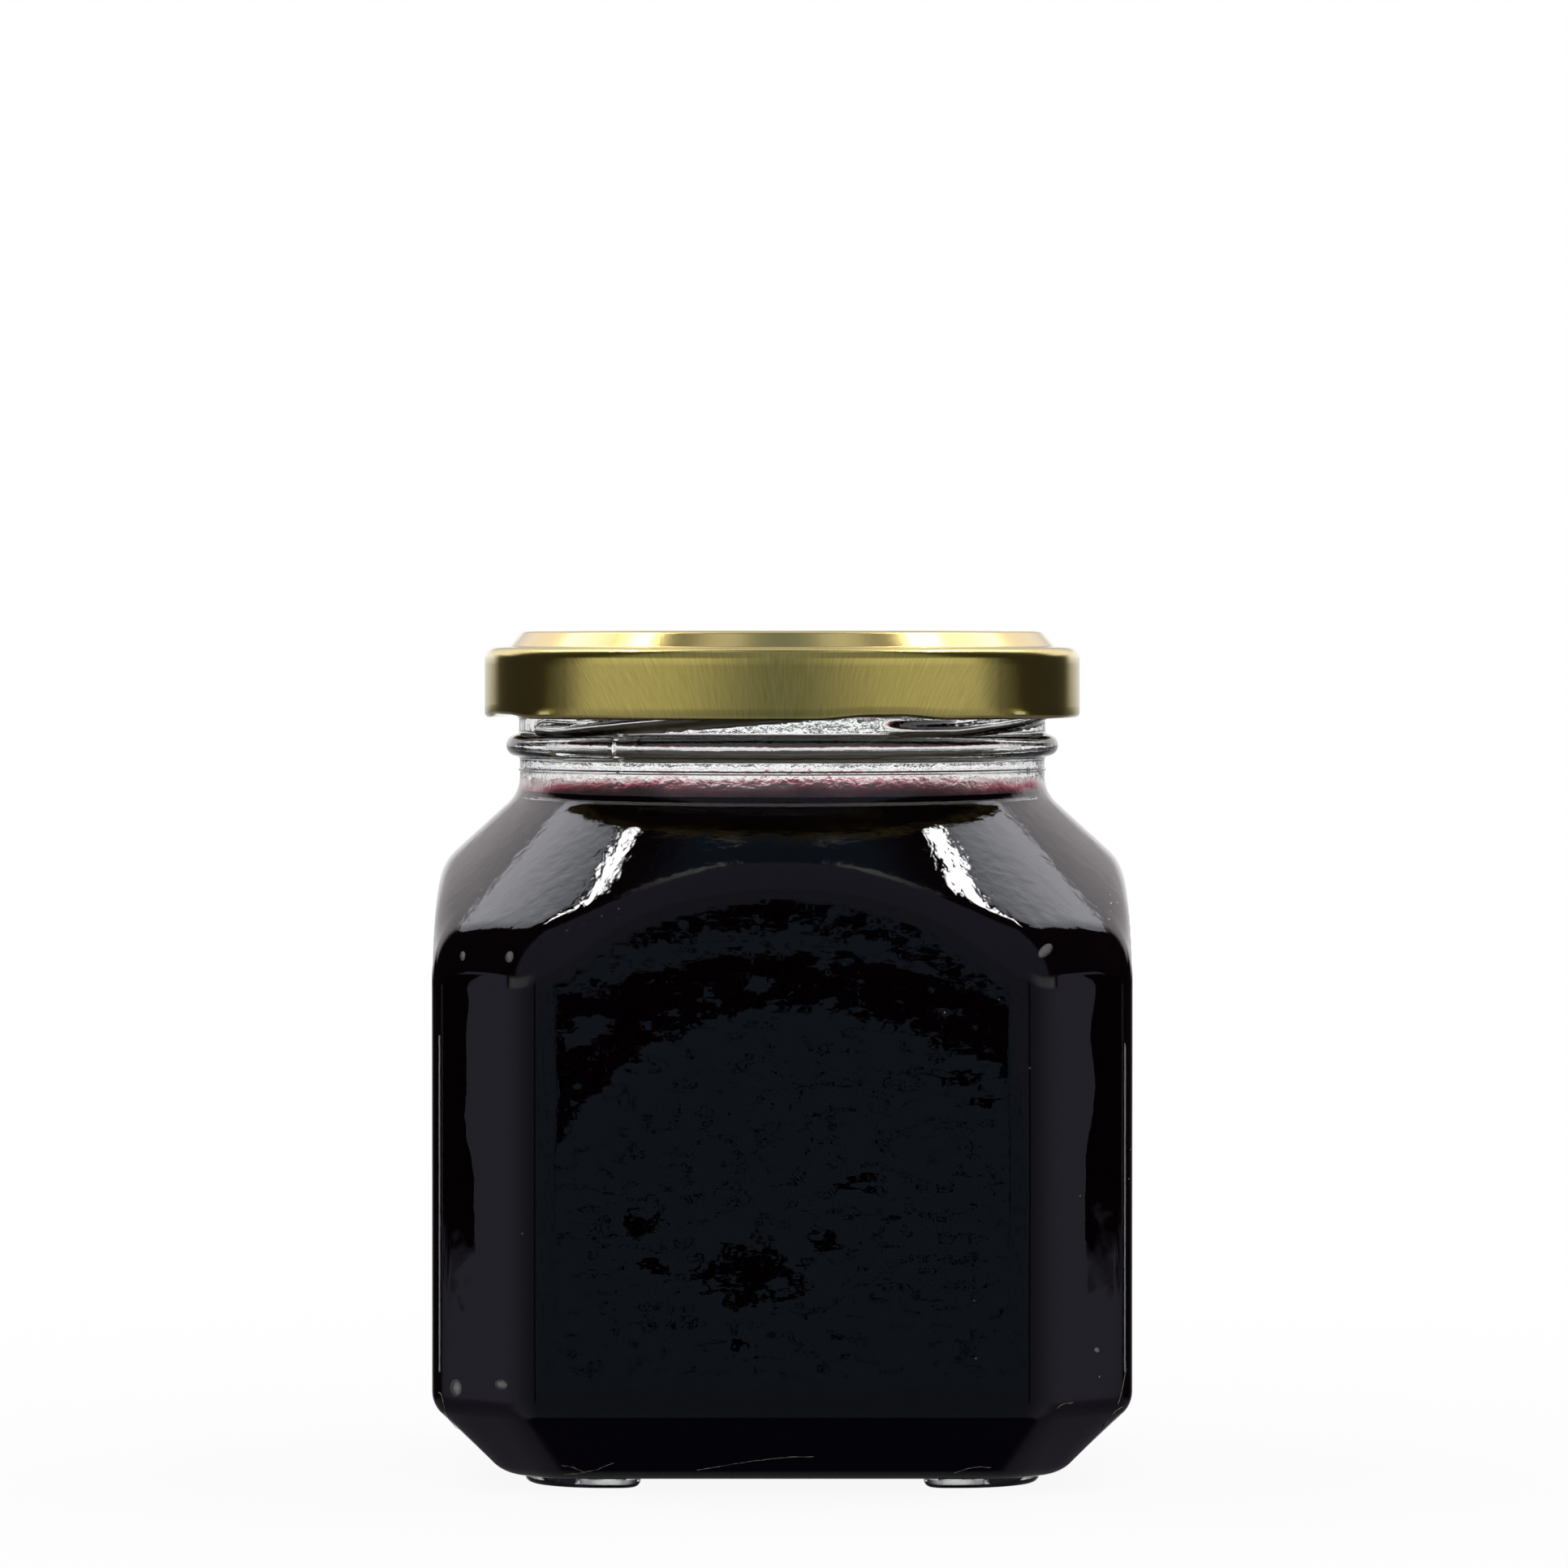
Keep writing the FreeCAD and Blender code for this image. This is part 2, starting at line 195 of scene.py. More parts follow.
def press_flats(piece, inset, corner_round, knee_round, wave):
    """Presses a turned skin into the square mould, up to the hollow below the neck."""
    wall_start = heel_top(inset) + 1.5 * MM
    neck_start = ROOT - 1.54 * MM
    octagon = 27 * MM                   # where the section has become fully eight-sided
    for vertex in piece.data.vertices:
        x, y, z = vertex.co
        blank = math.hypot(x, y)
        angle = gathered(math.atan2(y, x) % (2 * math.pi))
        radius = blank
        if z < neck_start and blank > DISH:
            half_width = blank if z < wall_start else HALF - inset
            pressed = body_radius(angle, z, half_width, inset, corner_round, knee_round)
            share = min(1, (blank - DISH) / (octagon - DISH))
            radius = blank + (pressed - blank) * share * share * (3 - 2 * share)
        point = Vector((radius * math.cos(angle), radius * math.sin(angle), z))
        if wave and blank > octagon:
            swell = noise.noise(point / (16 * MM)) + 0.4 * noise.noise(point / (6 * MM))
            outward = Vector((math.cos(angle), math.sin(angle), 0))
            off_face = abs((angle + math.pi / 4) % (math.pi / 2) - math.pi / 4)
            calm = 0.12 if off_face < EDGE_START else 0.6
            point -= outward * wave * (1 + swell * calm)
        vertex.co = point


def body_line(inset, floor, corner_heights):
    """Half section of the body through the middle of a side, from the floor's edge upwards."""
    top = heel_top(inset)
    floor_edge = HALF - inset - (top - floor)
    heel = rounded([(21 * MM, floor, 0), (24 * MM, floor, 0), (floor_edge, floor, 4.4 * MM),
                    (HALF - inset, top, 3.4 * MM), (HALF - inset, corner_heights[0], 0)])
    return heel[:-1] + [Vector((HALF - inset, z)) for z in corner_heights]


KNEE_ROWS = 38
wall_rows = [(13 + 2.6 * k) * MM for k in range(15)]
knee_rows = [(50.5 + 22.9 * k / KNEE_ROWS) * MM for k in range(KNEE_ROWS + 1)]

# Outside, from the dish in the underside to the middle of the rim
dish_ball = (DISH ** 2 + DISH_DEEP ** 2) / (2 * DISH_DEEP)
outside = [Vector((r * MM, FOOT + DISH_DEEP - dish_ball + math.sqrt(dish_ball ** 2 - (r * MM) ** 2)))
           for r in (0, 4, 8, 12, 15, 17.5, 19)]
outside += body_line(0, FOOT, wall_rows + knee_rows)
cone_foot = NECK + 2.5 * MM
neck_line = [
    (cone_foot, ROOT - 2.5 * MM * math.tan(FALL), 0),
    (NECK, ROOT, ROOT_ROUND),
    (NECK, PARTING, 0.06 * MM),
    (NECK + 0.16 * MM, PARTING + 0.1 * MM, 0.07 * MM),
    (NECK + 0.16 * MM, PARTING + 0.28 * MM, 0.07 * MM),
    (NECK, PARTING + 0.38 * MM, 0.1 * MM),
    (NECK, BEAD_LOW, 0.45 * MM),
    (NECK + BEAD_OUT, BEAD_LOW, 1.15 * MM),
    (NECK + BEAD_OUT, BEAD_HIGH, 1.15 * MM),
    (NECK + 0.1 * MM, BEAD_HIGH, 0.4 * MM),
    (NECK + 0.1 * MM, BEAD_HIGH + 0.5 * MM, 0),
]
outside += rounded(neck_line, 7)[1:]
outside += divided(outside[-1], (NECK + 0.05 * MM, 88.3 * MM), 28)
outside += rounded([(NECK, 89 * MM, 0), (NECK, RIM, 1.1 * MM), ((NECK + BORE) / 2, RIM, 0)])

jar = turned("jar_glass", outside, COLUMNS)
press_flats(jar, 0, CORNER_ROUND, KNEE_ROUND, 0.02 * MM)

# Thread: four starts that run level, then climb, standing out of the neck with round crests
THREAD_FIRST = math.radians(24 - 90)
THREAD_SPAN = math.radians(96)
THREAD_LEVEL = math.radians(15)
THREAD_CLIMB = 0.044 * MM / math.radians(1)
THREAD_MIDDLE = ROOT + 7.1 * MM
THREAD_REACH = 1.4 * MM                 # beyond the neck
THREAD_TOP = 88.4 * MM                  # the neck is plain above this


def smooth_step(value):
    value = min(1, max(0, value))
    return value * value * (3 - 2 * value)


SEAM = math.radians(-90 - 37)            # the two neck moulds met here and on the other side
for vertex in jar.data.vertices:
    x, y, z = vertex.co
    radius = math.hypot(x, y)
    if z < ROOT + 2.5 * MM or z > THREAD_TOP:
        continue
    from_seam = (math.atan2(y, x) - SEAM + math.pi / 2) % math.pi - math.pi / 2
    ridge = smooth_step(1 - abs(from_seam) / math.radians(0.9)) * 0.3 * MM
    radius += ridge
    vertex.co.x, vertex.co.y = x * radius / (radius - ridge), y * radius / (radius - ridge)
    if z < ROOT + 5 * MM:
        continue
    past_start = (math.atan2(y, x) - THREAD_FIRST) % (math.pi / 2)
    for past in (past_start, past_start + math.pi / 2):
        from_end = min(past, THREAD_SPAN - past) / math.radians(2.6)
        middle = THREAD_MIDDLE + THREAD_CLIMB * max(0, past - THREAD_LEVEL)
        off = abs(z - middle) / MM
        height = smooth_step((1.25 - off) / 1.15) * math.sqrt(max(0, min(1, from_end)))
        crest = NECK + THREAD_REACH * height
        if crest > radius:
            vertex.co *= Vector((crest / radius, crest / radius, 1))
            radius = crest

# Inside, from the middle of the rim down to the middle of the floor
inside_heights = [z * MM for z in (66, 62, 58, 54, 50, 44, 38, 32, 26, 20, 14.5)]
inner_root = ROOT - WALL / math.cos(FALL) + WALL * math.tan(FALL)
inside = rounded([((NECK + BORE) / 2, RIM, 0), (BORE, RIM, 1.1 * MM), (BORE, RIM - 3 * MM, 0)])
inside += divided(inside[-1], (BORE, ROOT + 2.4 * MM), 24)
inside += rounded([(BORE, ROOT + 2.4 * MM, 0), (BORE, inner_root, ROOT_ROUND + WALL),
                   (BORE + 4 * MM, inner_root - 4 * MM * math.tan(FALL), 0)], 8)[1:-1]
inner_knees = [(70.5 - 0.8 * k) * MM for k in range(20)]
lower = body_line(WALL, FOOT + BASE, sorted(inside_heights[3:]))
inside += [Vector((HALF - WALL, z)) for z in inner_knees]
inside += lower[::-1] + [Vector((12 * MM, FOOT + BASE)), Vector((0, FOOT + BASE))]

lining = turned("jar_lining", inside, COLUMNS)
press_flats(lining, WALL, INNER_CORNER, INNER_KNEE, 0)


def take_up(*pieces):
    """Selects these pieces and nothing else; the first is the active one."""
    bpy.ops.object.select_all(action="DESELECT")
    for piece in pieces:
        piece.select_set(True)
    bpy.context.view_layer.objects.active = pieces[0]


take_up(jar, lining)
bpy.ops.object.join()
bpy.ops.object.mode_set(mode="EDIT")
bpy.ops.mesh.select_all(action="SELECT")
bpy.ops.mesh.remove_doubles(threshold=0.002 * MM)
bpy.ops.mesh.normals_make_consistent(inside=False)
bpy.ops.object.mode_set(mode="OBJECT")

# Feet: an L-shaped pad below each corner, one modelled and three copied, then made one with
# the jar
FOOT_WIDE, FOOT_LONG, FOOT_BEND = 5.5 * MM, 12.8 * MM, 9 * MM
foot_out = HALF - HEEL - 1.9 * MM
foot_in = foot_out - FOOT_WIDE
foot_end = foot_out - FOOT_LONG
bend = foot_out - FOOT_BEND


def arc(cx, cy, radius, start, end, steps):
    """Points of an arc in plan, angles in degrees."""
    angles = [math.radians(start + (end - start) * k / steps) for k in range(steps + 1)]
    return [(cx + radius * math.cos(a), cy + radius * math.sin(a), FOOT * 2) for a in angles]


tip = 2.3 * MM
plan = arc(bend, bend, FOOT_BEND, 0, 90, 12)
plan += arc(foot_end + tip, foot_out - tip, tip, 90, 180, 5)
plan += arc(foot_end + tip, foot_in + tip, tip, 180, 270, 5)
plan += arc(bend, bend, FOOT_BEND - FOOT_WIDE, 90, 0, 6)
plan += arc(foot_in + tip, foot_end + tip, tip, 180, 270, 5)
plan += arc(foot_out - tip, foot_end + tip, tip, 270, 360, 5)
foot = line_piece("jar_foot", plan)
bpy.ops.mesh.select_all(action="SELECT")
bpy.ops.mesh.edge_face_add()
bpy.ops.mesh.extrude_region_move(TRANSFORM_OT_translate={"value": (0, 0, -2 * FOOT)})
bpy.ops.mesh.bevel(offset=0.8 * MM, segments=4, affect="EDGES")
bpy.ops.mesh.select_all(action="SELECT")
bpy.ops.mesh.normals_make_consistent(inside=False)
bpy.ops.object.mode_set(mode="OBJECT")
feet = [foot]
for quarter in (1, 2, 3):
    copy = foot.copy()
    copy.data = foot.data.copy()
    bpy.context.collection.objects.link(copy)
    copy.data.transform(Matrix.Rotation(quarter * math.pi / 2, 4, "Z"))
    feet.append(copy)
for pad in feet:
    bpy.context.view_layer.objects.active = jar
    union = jar.modifiers.new("foot", "BOOLEAN")
    union.operation = "UNION"
    union.solver = "EXACT"
    union.object = pad
    bpy.ops.object.modifier_apply(modifier=union.name)
    bpy.data.objects.remove(pad)


def linear(hex_colour):
    """Linear colour of an sRGB hex value."""
    values = [int(hex_colour[i:i + 2], 16) / 255 for i in (1, 3, 5)]
    return tuple(v / 12.92 if v <= 0.04045 else ((v + 0.055) / 1.055) ** 2.4 for v in values) + (1,)


def add_node(tree, kind, inputs=None, **settings):
    """Adds a node with its settings; inputs are values, or sockets to link from."""
    node = tree.nodes.new(kind)
    for key, value in settings.items():
        setattr(node, key, value)
    for key, value in (inputs or {}).items():
        socket = node.inputs[key]
        if isinstance(value, bpy.types.NodeSocket):
            tree.links.new(value, socket)
        else:
            socket.default_value = value
    return node


def new_material(name):
    """An empty material with its node tree and its output node."""
    material = bpy.data.materials.new(name)
    material.use_nodes = True
    material.node_tree.nodes.clear()
    return material, material.node_tree, add_node(material.node_tree, "ShaderNodeOutputMaterial")


def distance_from_axis(tree, place):
    """How far a point of the surface is from the jar's axis, measured level."""
    level = add_node(tree, "ShaderNodeVectorMath", {0: place.outputs["Object"], 1: (1, 1, 0)},
                     operation="MULTIPLY")
    reach = add_node(tree, "ShaderNodeVectorMath", {0: level.outputs["Vector"]}, operation="LENGTH")
    return reach.outputs["Value"]


# Soda-lime glass, fire polished: clear, index 1.52, with a fine ripple that breaks up the
# edges of reflections
glass, tree, output = new_material("soda_lime_glass")
place = add_node(tree, "ShaderNodeTexCoord")
ripple_place = add_node(tree, "ShaderNodeMapping",
                        {"Vector": place.outputs["Object"], "Scale": (0.5, 0.5, 1)})
ripple = add_node(tree, "ShaderNodeTexNoise",
                  {"Vector": ripple_place.outputs["Vector"], "Scale": 1 / (1.2 * MM), "Detail": 1.0})
fine_bump = add_node(tree, "ShaderNodeBump",
                     {"Height": ripple.outputs["Fac"], "Strength": 1.0, "Distance": 0.0004 * MM})
level = add_node(tree, "ShaderNodeSeparateXYZ", {0: place.outputs["Object"]})
facing = add_node(tree, "ShaderNodeNewGeometry")
rise = add_node(tree, "ShaderNodeSeparateXYZ", {0: facing.outputs["Normal"]})
on_slope = add_node(tree, "ShaderNodeMapRange",
                    {"Value": rise.outputs["Z"], "From Min": 0.45, "From Max": 0.7})
on_neck = add_node(tree, "ShaderNodeMapRange", {"Value": level.outputs["Z"], "From Min": 70 * MM,
                                                "From Max": 73 * MM})
over_knee = add_node(tree, "ShaderNodeMath", {0: on_slope.outputs[0], 1: on_neck.outputs[0]},
                     operation="MAXIMUM")
waves = add_node(tree, "ShaderNodeTexNoise",
                 {"Vector": place.outputs["Object"], "Scale": 1 / (1.8 * MM), "Detail": 4.0})
wave_height = add_node(tree, "ShaderNodeMath", {0: waves.outputs["Fac"], 1: over_knee.outputs[0]},
                       operation="MULTIPLY")
wave_bump = add_node(tree, "ShaderNodeBump", {"Height": wave_height.outputs[0], "Strength": 1.0,
                                              "Distance": 0.05 * MM, "Normal": fine_bump.outputs["Normal"]})
in_bore = add_node(tree, "ShaderNodeMath", {0: distance_from_axis(tree, place), 1: BORE + 0.8 * MM},
                   operation="LESS_THAN")
under_bead = add_node(tree, "ShaderNodeMapRange", {"Value": level.outputs["Z"], "From Min": 78.6 * MM,
                                                   "From Max": 77.8 * MM})
crinkles = add_node(tree, "ShaderNodeTexNoise",
                    {"Vector": place.outputs["Object"], "Scale": 1 / (0.7 * MM), "Detail": 2.0})
crinkle_share = add_node(tree, "ShaderNodeMath", {0: in_bore.outputs[0], 1: under_bead.outputs[0]},
                         operation="MULTIPLY")
crinkle_height = add_node(tree, "ShaderNodeMath", {0: crinkles.outputs["Fac"], 1: crinkle_share.outputs[0]},
                          operation="MULTIPLY")
bump = add_node(tree, "ShaderNodeBump", {"Height": crinkle_height.outputs[0], "Strength": 1.0,
                                         "Distance": 0.035 * MM, "Normal": wave_bump.outputs["Normal"]})
surface = add_node(tree, "ShaderNodeBsdfPrincipled", {
    "Base Color": (0.985, 0.995, 0.99, 1), "Roughness": 0.0, "IOR": 1.52,
    "Transmission Weight": 1.0, "Normal": bump.outputs["Normal"]})
tree.links.new(surface.outputs["BSDF"], output.inputs["Surface"])

jar.data.materials.append(glass)
take_up(jar)
bpy.ops.object.shade_smooth_by_angle(angle=math.radians(40))
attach(jar, "root")
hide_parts("glass_jar")

# ---------------------------------------------------------------------------------------------
# Wall blisters. Air that was caught in the glass when it was blown: a few flattened bubbles by
# the corners, and fine seeds all round, each a small hollow just under the outer skin.
# ---------------------------------------------------------------------------------------------
BLISTERS = (                            # height, turn from the front, sizes along and across, lean
    (58.0, -39.5, 1.3, 1.2, 0), (57.9, -48.6, 1.1, 0.9, 20), (58.7, 38.2, 2.3, 1.2, -58),
    (11.2, -49.2, 1.9, 1.9, 25), (12.0, -40.4, 1.1, 1.9, 0), (15.4, 47.0, 0.9, 0.6, 70),
    (58.4, 142.0, 1.2, 1.0, 0), (12.2, -139.0, 1.1, 1.7, 10), (30.5, 133.5, 0.9, 0.6, 60))
seeds = []
for k in range(60):
    spread = noise.cell_vector(Vector((7.3 * k, 2.1, 0.4)))     # the same scatter each time
    seeds.append((12 + 46 * (spread.x % 1), 360 * (spread.y % 1), 0.2 + 0.12 * (spread.z % 1), 0.17,
                  40 * k % 180))
bubbles = []
for height, turn_degrees, long_size, short_size, lean_degrees in BLISTERS + tuple(seeds):
    around = math.radians(turn_degrees - 90)
    deep = 0.75 * MM if long_size > 0.5 else 0.45 * MM
    skin = body_radius(around % (2 * math.pi), height * MM, HALF, 0, CORNER_ROUND, KNEE_ROUND)
    bpy.ops.object.select_all(action="DESELECT")
    steps = 24 if long_size > 0.5 else 12
    bpy.ops.mesh.primitive_uv_sphere_add(segments=steps, ring_count=steps // 2, radius=0.5 * MM)
    bubble = bpy.context.object
    bubble.data.transform(Matrix.Diagonal((0.35 * short_size, short_size, long_size, 1)))
    bubble.data.transform(Matrix.Rotation(math.radians(lean_degrees), 4, "X"))
    bubble.data.transform(Matrix.Rotation(around, 4, "Z"))
    bubble.data.transform(Matrix.Translation((
        (skin - deep) * math.cos(around), (skin - deep) * math.sin(around), height * MM)))
    bubbles.append(bubble)
take_up(*bubbles)
bpy.ops.object.join()
blisters = bubbles[0]
blisters.name = "wall_blisters"
blisters.data.name = "wall_blisters"
bpy.ops.object.shade_smooth()

# Air in glass: light meets it from the denser side, so its rim shines like a mirror
air, tree, output = new_material("air_caught_in_glass")
place = add_node(tree, "ShaderNodeTexCoord")
puckers = add_node(tree, "ShaderNodeTexNoise", {"Vector": place.outputs["Object"], "Scale": 1 / (0.4 * MM)})
bump = add_node(tree, "ShaderNodeBump",
                {"Height": puckers.outputs["Fac"], "Strength": 1.0, "Distance": 0.02 * MM})
clear = add_node(tree, "ShaderNodeBsdfGlass", {
    "Color": (1, 1, 1, 1), "Roughness": 0.0, "IOR": 1 / 1.52, "Normal": bump.outputs["Normal"]})
# painted highlight: a share of plain white diffuse gives each bubble the bright fill of a glint
glint_white = add_node(tree, "ShaderNodeBsdfDiffuse", {"Color": linear("#e6dcdc")})
surface = add_node(tree, "ShaderNodeMixShader", {0: 0.12, 1: clear.outputs["BSDF"], 2: glint_white.outputs["BSDF"]})
tree.links.new(surface.outputs[0], output.inputs["Surface"])
blisters.data.materials.append(air)
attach(blisters, "root")

# ---------------------------------------------------------------------------------------------
# Heel lines. Hair-thin pale lines on the lower edge of the glass, mottled dark and pale
# yellowish grey, that lie half in the surface.
# ---------------------------------------------------------------------------------------------
HEEL_LINE_ENDS = (                              # x and z of the start and of the end, bow, in millimetres
    (-9.2, 2.3, 3.4, 4.0, 0.35), (-23.6, 1.9, -18.2, 3.3, -0.4),
    (-23.9, 2.9, -21.3, 2.0, 0.2), (-37.3, 10.6, -36.6, 8.8, 0.5), (-36.7, 8.6, -34.8, 6.4, -0.5),
    (34.9, 6.6, 36.9, 9.0, 0.5), (36.4, 9.4, 37.3, 13.2, -0.4), (29.6, 9.6, 31.4, 9.9, 0.25),
    (18.6, 2.0, 22.6, 2.6, 0.3))


def on_glass(x, z):
    """Point of the front skin, or of its flat corners, at a place seen from the front."""
    half_width = min(HALF, HALF - heel_top(0) + z)
    leg = max(0, CORNER_LEG - (2 - math.sqrt(2)) * (HALF - half_width))
    return Vector((x, -min(half_width, 2 * half_width - leg - abs(x)), z))


line_pieces = []
for x0, z0, x1, z1, bow in HEEL_LINE_ENDS:
    line = []
    for k in range(17):
        t = k / 16
        lift = bow * 4 * t * (1 - t) + 0.12 * noise.noise(Vector((x0, 9 * t, z0)))
        line.append(on_glass((x0 + (x1 - x0) * t) * MM, (z0 + (z1 - z0) * t + lift) * MM))
    hair = line_piece("heel_line", line)
    bpy.ops.object.mode_set(mode="OBJECT")
    bpy.ops.object.convert(target="CURVE")
    hair.data.bevel_depth = 0.03 * MM
    hair.data.bevel_resolution = 1
    hair.data.use_fill_caps = True
    bpy.ops.object.convert(target="MESH")
    line_pieces.append(bpy.context.object)
take_up(*line_pieces)
bpy.ops.object.join()
heel_lines = line_pieces[0]
heel_lines.name = "heel_pale_lines"
heel_lines.data.name = "heel_pale_lines"
bpy.ops.object.shade_smooth()

# Pale yellowish grey, mottled with a darker tone
pale_line_colour, tree, output = new_material("pale_mottled_glass")
place = add_node(tree, "ShaderNodeTexCoord")
line_mottle = add_node(tree, "ShaderNodeTexNoise", {"Vector": place.outputs["Object"], "Scale": 1 / (0.8 * MM)})
tint = add_node(tree, "ShaderNodeValToRGB", {"Fac": line_mottle.outputs["Fac"]})
tint.color_ramp.elements[0].position = 0.35
tint.color_ramp.elements[0].color = linear("#2c2a24")
tint.color_ramp.elements[1].position = 0.62
tint.color_ramp.elements[1].color = linear("#9c967e")
surface = add_node(tree, "ShaderNodeBsdfPrincipled", {
    "Base Color": tint.outputs["Color"], "Roughness": 0.3, "IOR": 1.52})
tree.links.new(surface.outputs["BSDF"], output.inputs["Surface"])
heel_lines.data.materials.append(pale_line_colour)
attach(heel_lines, "root")

# ---------------------------------------------------------------------------------------------
# Jam. Dark berries boiled with sugar, poured hot and set: so deep a red that it looks black
# through the glass. It reaches just into the wall, so that no air shows between the two.
# ---------------------------------------------------------------------------------------------
SUNK = 0.1 * MM                         # how far the jam reaches into the wall
jam_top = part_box("jam")[1].z - 0.9 * MM   # the far side of the level shows higher than the near
jam_inset = WALL - SUNK
jam_root = ROOT - jam_inset / math.cos(FALL) + jam_inset * math.tan(FALL)
jam_neck = NECK - jam_inset
jam_line = [Vector((0, FOOT + BASE - SUNK)), Vector((12 * MM, FOOT + BASE - SUNK))]
jam_line += body_line(jam_inset, FOOT + BASE - SUNK, sorted(inside_heights[3:]))
jam_line += [Vector((HALF - jam_inset, z)) for z in inner_knees[::-1]]
root_arc = rounded([(jam_neck + 4 * MM, jam_root - 4 * MM * math.tan(FALL), 0),
                    (jam_neck, jam_root, ROOT_ROUND + jam_inset), (jam_neck, jam_top + 3 * MM, 0)], 12)
jam_line += [p for p in root_arc[1:-1] if p.y < jam_top - 0.15 * MM]
edge = jam_line[-1].x - 0.05 * MM
jam_line += [Vector((edge, jam_top)), Vector((edge - 0.8 * MM, jam_top - 0.3 * MM)),
             Vector((edge - 4 * MM, jam_top - 0.5 * MM)), Vector((0, jam_top - 0.5 * MM))]
jam = turned("jam_body", jam_line, COLUMNS)
press_flats(jam, jam_inset, INNER_CORNER + SUNK, INNER_KNEE + SUNK, 0)


def face_outwards(piece):
    """Turns all faces of a piece outwards."""
    take_up(piece)
    bpy.ops.object.mode_set(mode="EDIT")
    bpy.ops.mesh.select_all(action="SELECT")
    bpy.ops.mesh.normals_make_consistent(inside=False)
    bpy.ops.object.mode_set(mode="OBJECT")


face_outwards(jam)

dark_jam, tree, output = new_material("set_berry_jam")
place = add_node(tree, "ShaderNodeTexCoord")
clots = add_node(tree, "ShaderNodeTexNoise",
                 {"Vector": place.outputs["Object"], "Scale": 1 / (5 * MM), "Detail": 3.0})
shade = add_node(tree, "ShaderNodeValToRGB", {"Fac": clots.outputs["Fac"]})
shade.color_ramp.elements[0].color = linear("#050203")
shade.color_ramp.elements[1].color = linear("#0c0407")
surface = add_node(tree, "ShaderNodeBsdfPrincipled", {
    "Base Color": shade.outputs["Color"], "Roughness": 0.35, "IOR": 1.4,
    "Specular IOR Level": 0.0})
tree.links.new(surface.outputs["BSDF"], output.inputs["Surface"])
jam.data.materials.append(dark_jam)
take_up(jam)
bpy.ops.object.shade_smooth_by_angle(angle=math.radians(40))
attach(jam, "root")
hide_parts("jam")

# ---------------------------------------------------------------------------------------------
# Jam smear. A thin, see-through film of jam that splashed on the inside of the neck when the
# jar was filled and turned, and ran back: crimson where it is thick, pale pink at its edge.
# ---------------------------------------------------------------------------------------------
SMEAR_LOW = jam_top - 0.15 * MM         # its foot is under the jam
SMEAR_TALL = 2.7 * MM


def bore_wall(z):
    """Radius of the neck's inner wall at a height: straight, then flaring into the shoulder."""
    bend = ROOT_ROUND + WALL
    drop = max(0, inner_root + bend * math.tan((math.pi / 2 - FALL) / 2) - z)
    return BORE + bend - math.sqrt(bend ** 2 - drop ** 2)


smear = turned("jam_smear", [Vector((BORE, SMEAR_LOW)), Vector((BORE, SMEAR_LOW + 0.5 * SMEAR_TALL)),
                             Vector((BORE, SMEAR_LOW + SMEAR_TALL))], 360)
face_outwards(smear)
bpy.ops.object.mode_set(mode="EDIT")
bpy.ops.mesh.subdivide(number_cuts=3)
bpy.ops.object.mode_set(mode="OBJECT")
for vertex in smear.data.vertices:
    x, y, z = vertex.co
    outward = Vector((x, y, 0)) / math.hypot(x, y)
    edge = noise.noise(outward * 3) * 0.5 + noise.noise(outward * 11) * 0.35 + noise.noise(outward * 47) * 0.2
    z = SMEAR_LOW + (z - SMEAR_LOW) * (0.85 + 0.5 * edge)
    vertex.co = outward * (bore_wall(z) + 0.03 * MM) + Vector((0, 0, z))
film_wall = smear.modifiers.new("film", "SOLIDIFY")
film_wall.thickness = 0.13 * MM
film_wall.offset = -1
bpy.ops.object.modifier_apply(modifier=film_wall.name)

thin_jam, tree, output = new_material("thin_jam_film")
place = add_node(tree, "ShaderNodeTexCoord")
level = add_node(tree, "ShaderNodeSeparateXYZ", {0: place.outputs["Object"]})
runs = add_node(tree, "ShaderNodeTexNoise",
                {"Vector": place.outputs["Object"], "Scale": 1 / (8 * MM), "Detail": 5.0})
drift = add_node(tree, "ShaderNodeMath", {0: runs.outputs["Fac"], 1: -4.4 * MM, 2: level.outputs["Z"]},
                 operation="MULTIPLY_ADD")
depth = add_node(tree, "ShaderNodeMapRange", {"Value": drift.outputs[0], "From Min": SMEAR_LOW - 1.9 * MM,
                                              "From Max": SMEAR_LOW - 0.35 * MM})
pinks = add_node(tree, "ShaderNodeValToRGB", {"Fac": depth.outputs[0]})
pinks.color_ramp.elements[0].color = linear("#6a0e28")
pinks.color_ramp.elements[1].color = linear("#fff6f4")
middle_pink = pinks.color_ramp.elements.new(0.45)
middle_pink.color = linear("#d8708a")
grains = add_node(tree, "ShaderNodeTexNoise",
                  {"Vector": place.outputs["Object"], "Scale": 1 / (0.6 * MM), "Detail": 2.0})
bump = add_node(tree, "ShaderNodeBump",
                {"Height": grains.outputs["Fac"], "Strength": 0.6, "Distance": 0.06 * MM})
surface = add_node(tree, "ShaderNodeBsdfPrincipled", {
    "Base Color": pinks.outputs["Color"], "Roughness": 0.08, "IOR": 1.35,
    "Transmission Weight": 1.0, "Normal": bump.outputs["Normal"]})
cloudy = add_node(tree, "ShaderNodeBsdfTranslucent",
                  {"Color": pinks.outputs["Color"], "Normal": bump.outputs["Normal"]})
film = add_node(tree, "ShaderNodeMixShader", {0: 0.12, 1: surface.outputs["BSDF"], 2: cloudy.outputs["BSDF"]})
tree.links.new(film.outputs[0], output.inputs["Surface"])
smear.data.materials.append(thin_jam)
take_up(smear)
bpy.ops.object.shade_smooth_by_angle(angle=math.radians(60))
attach(smear, "root")

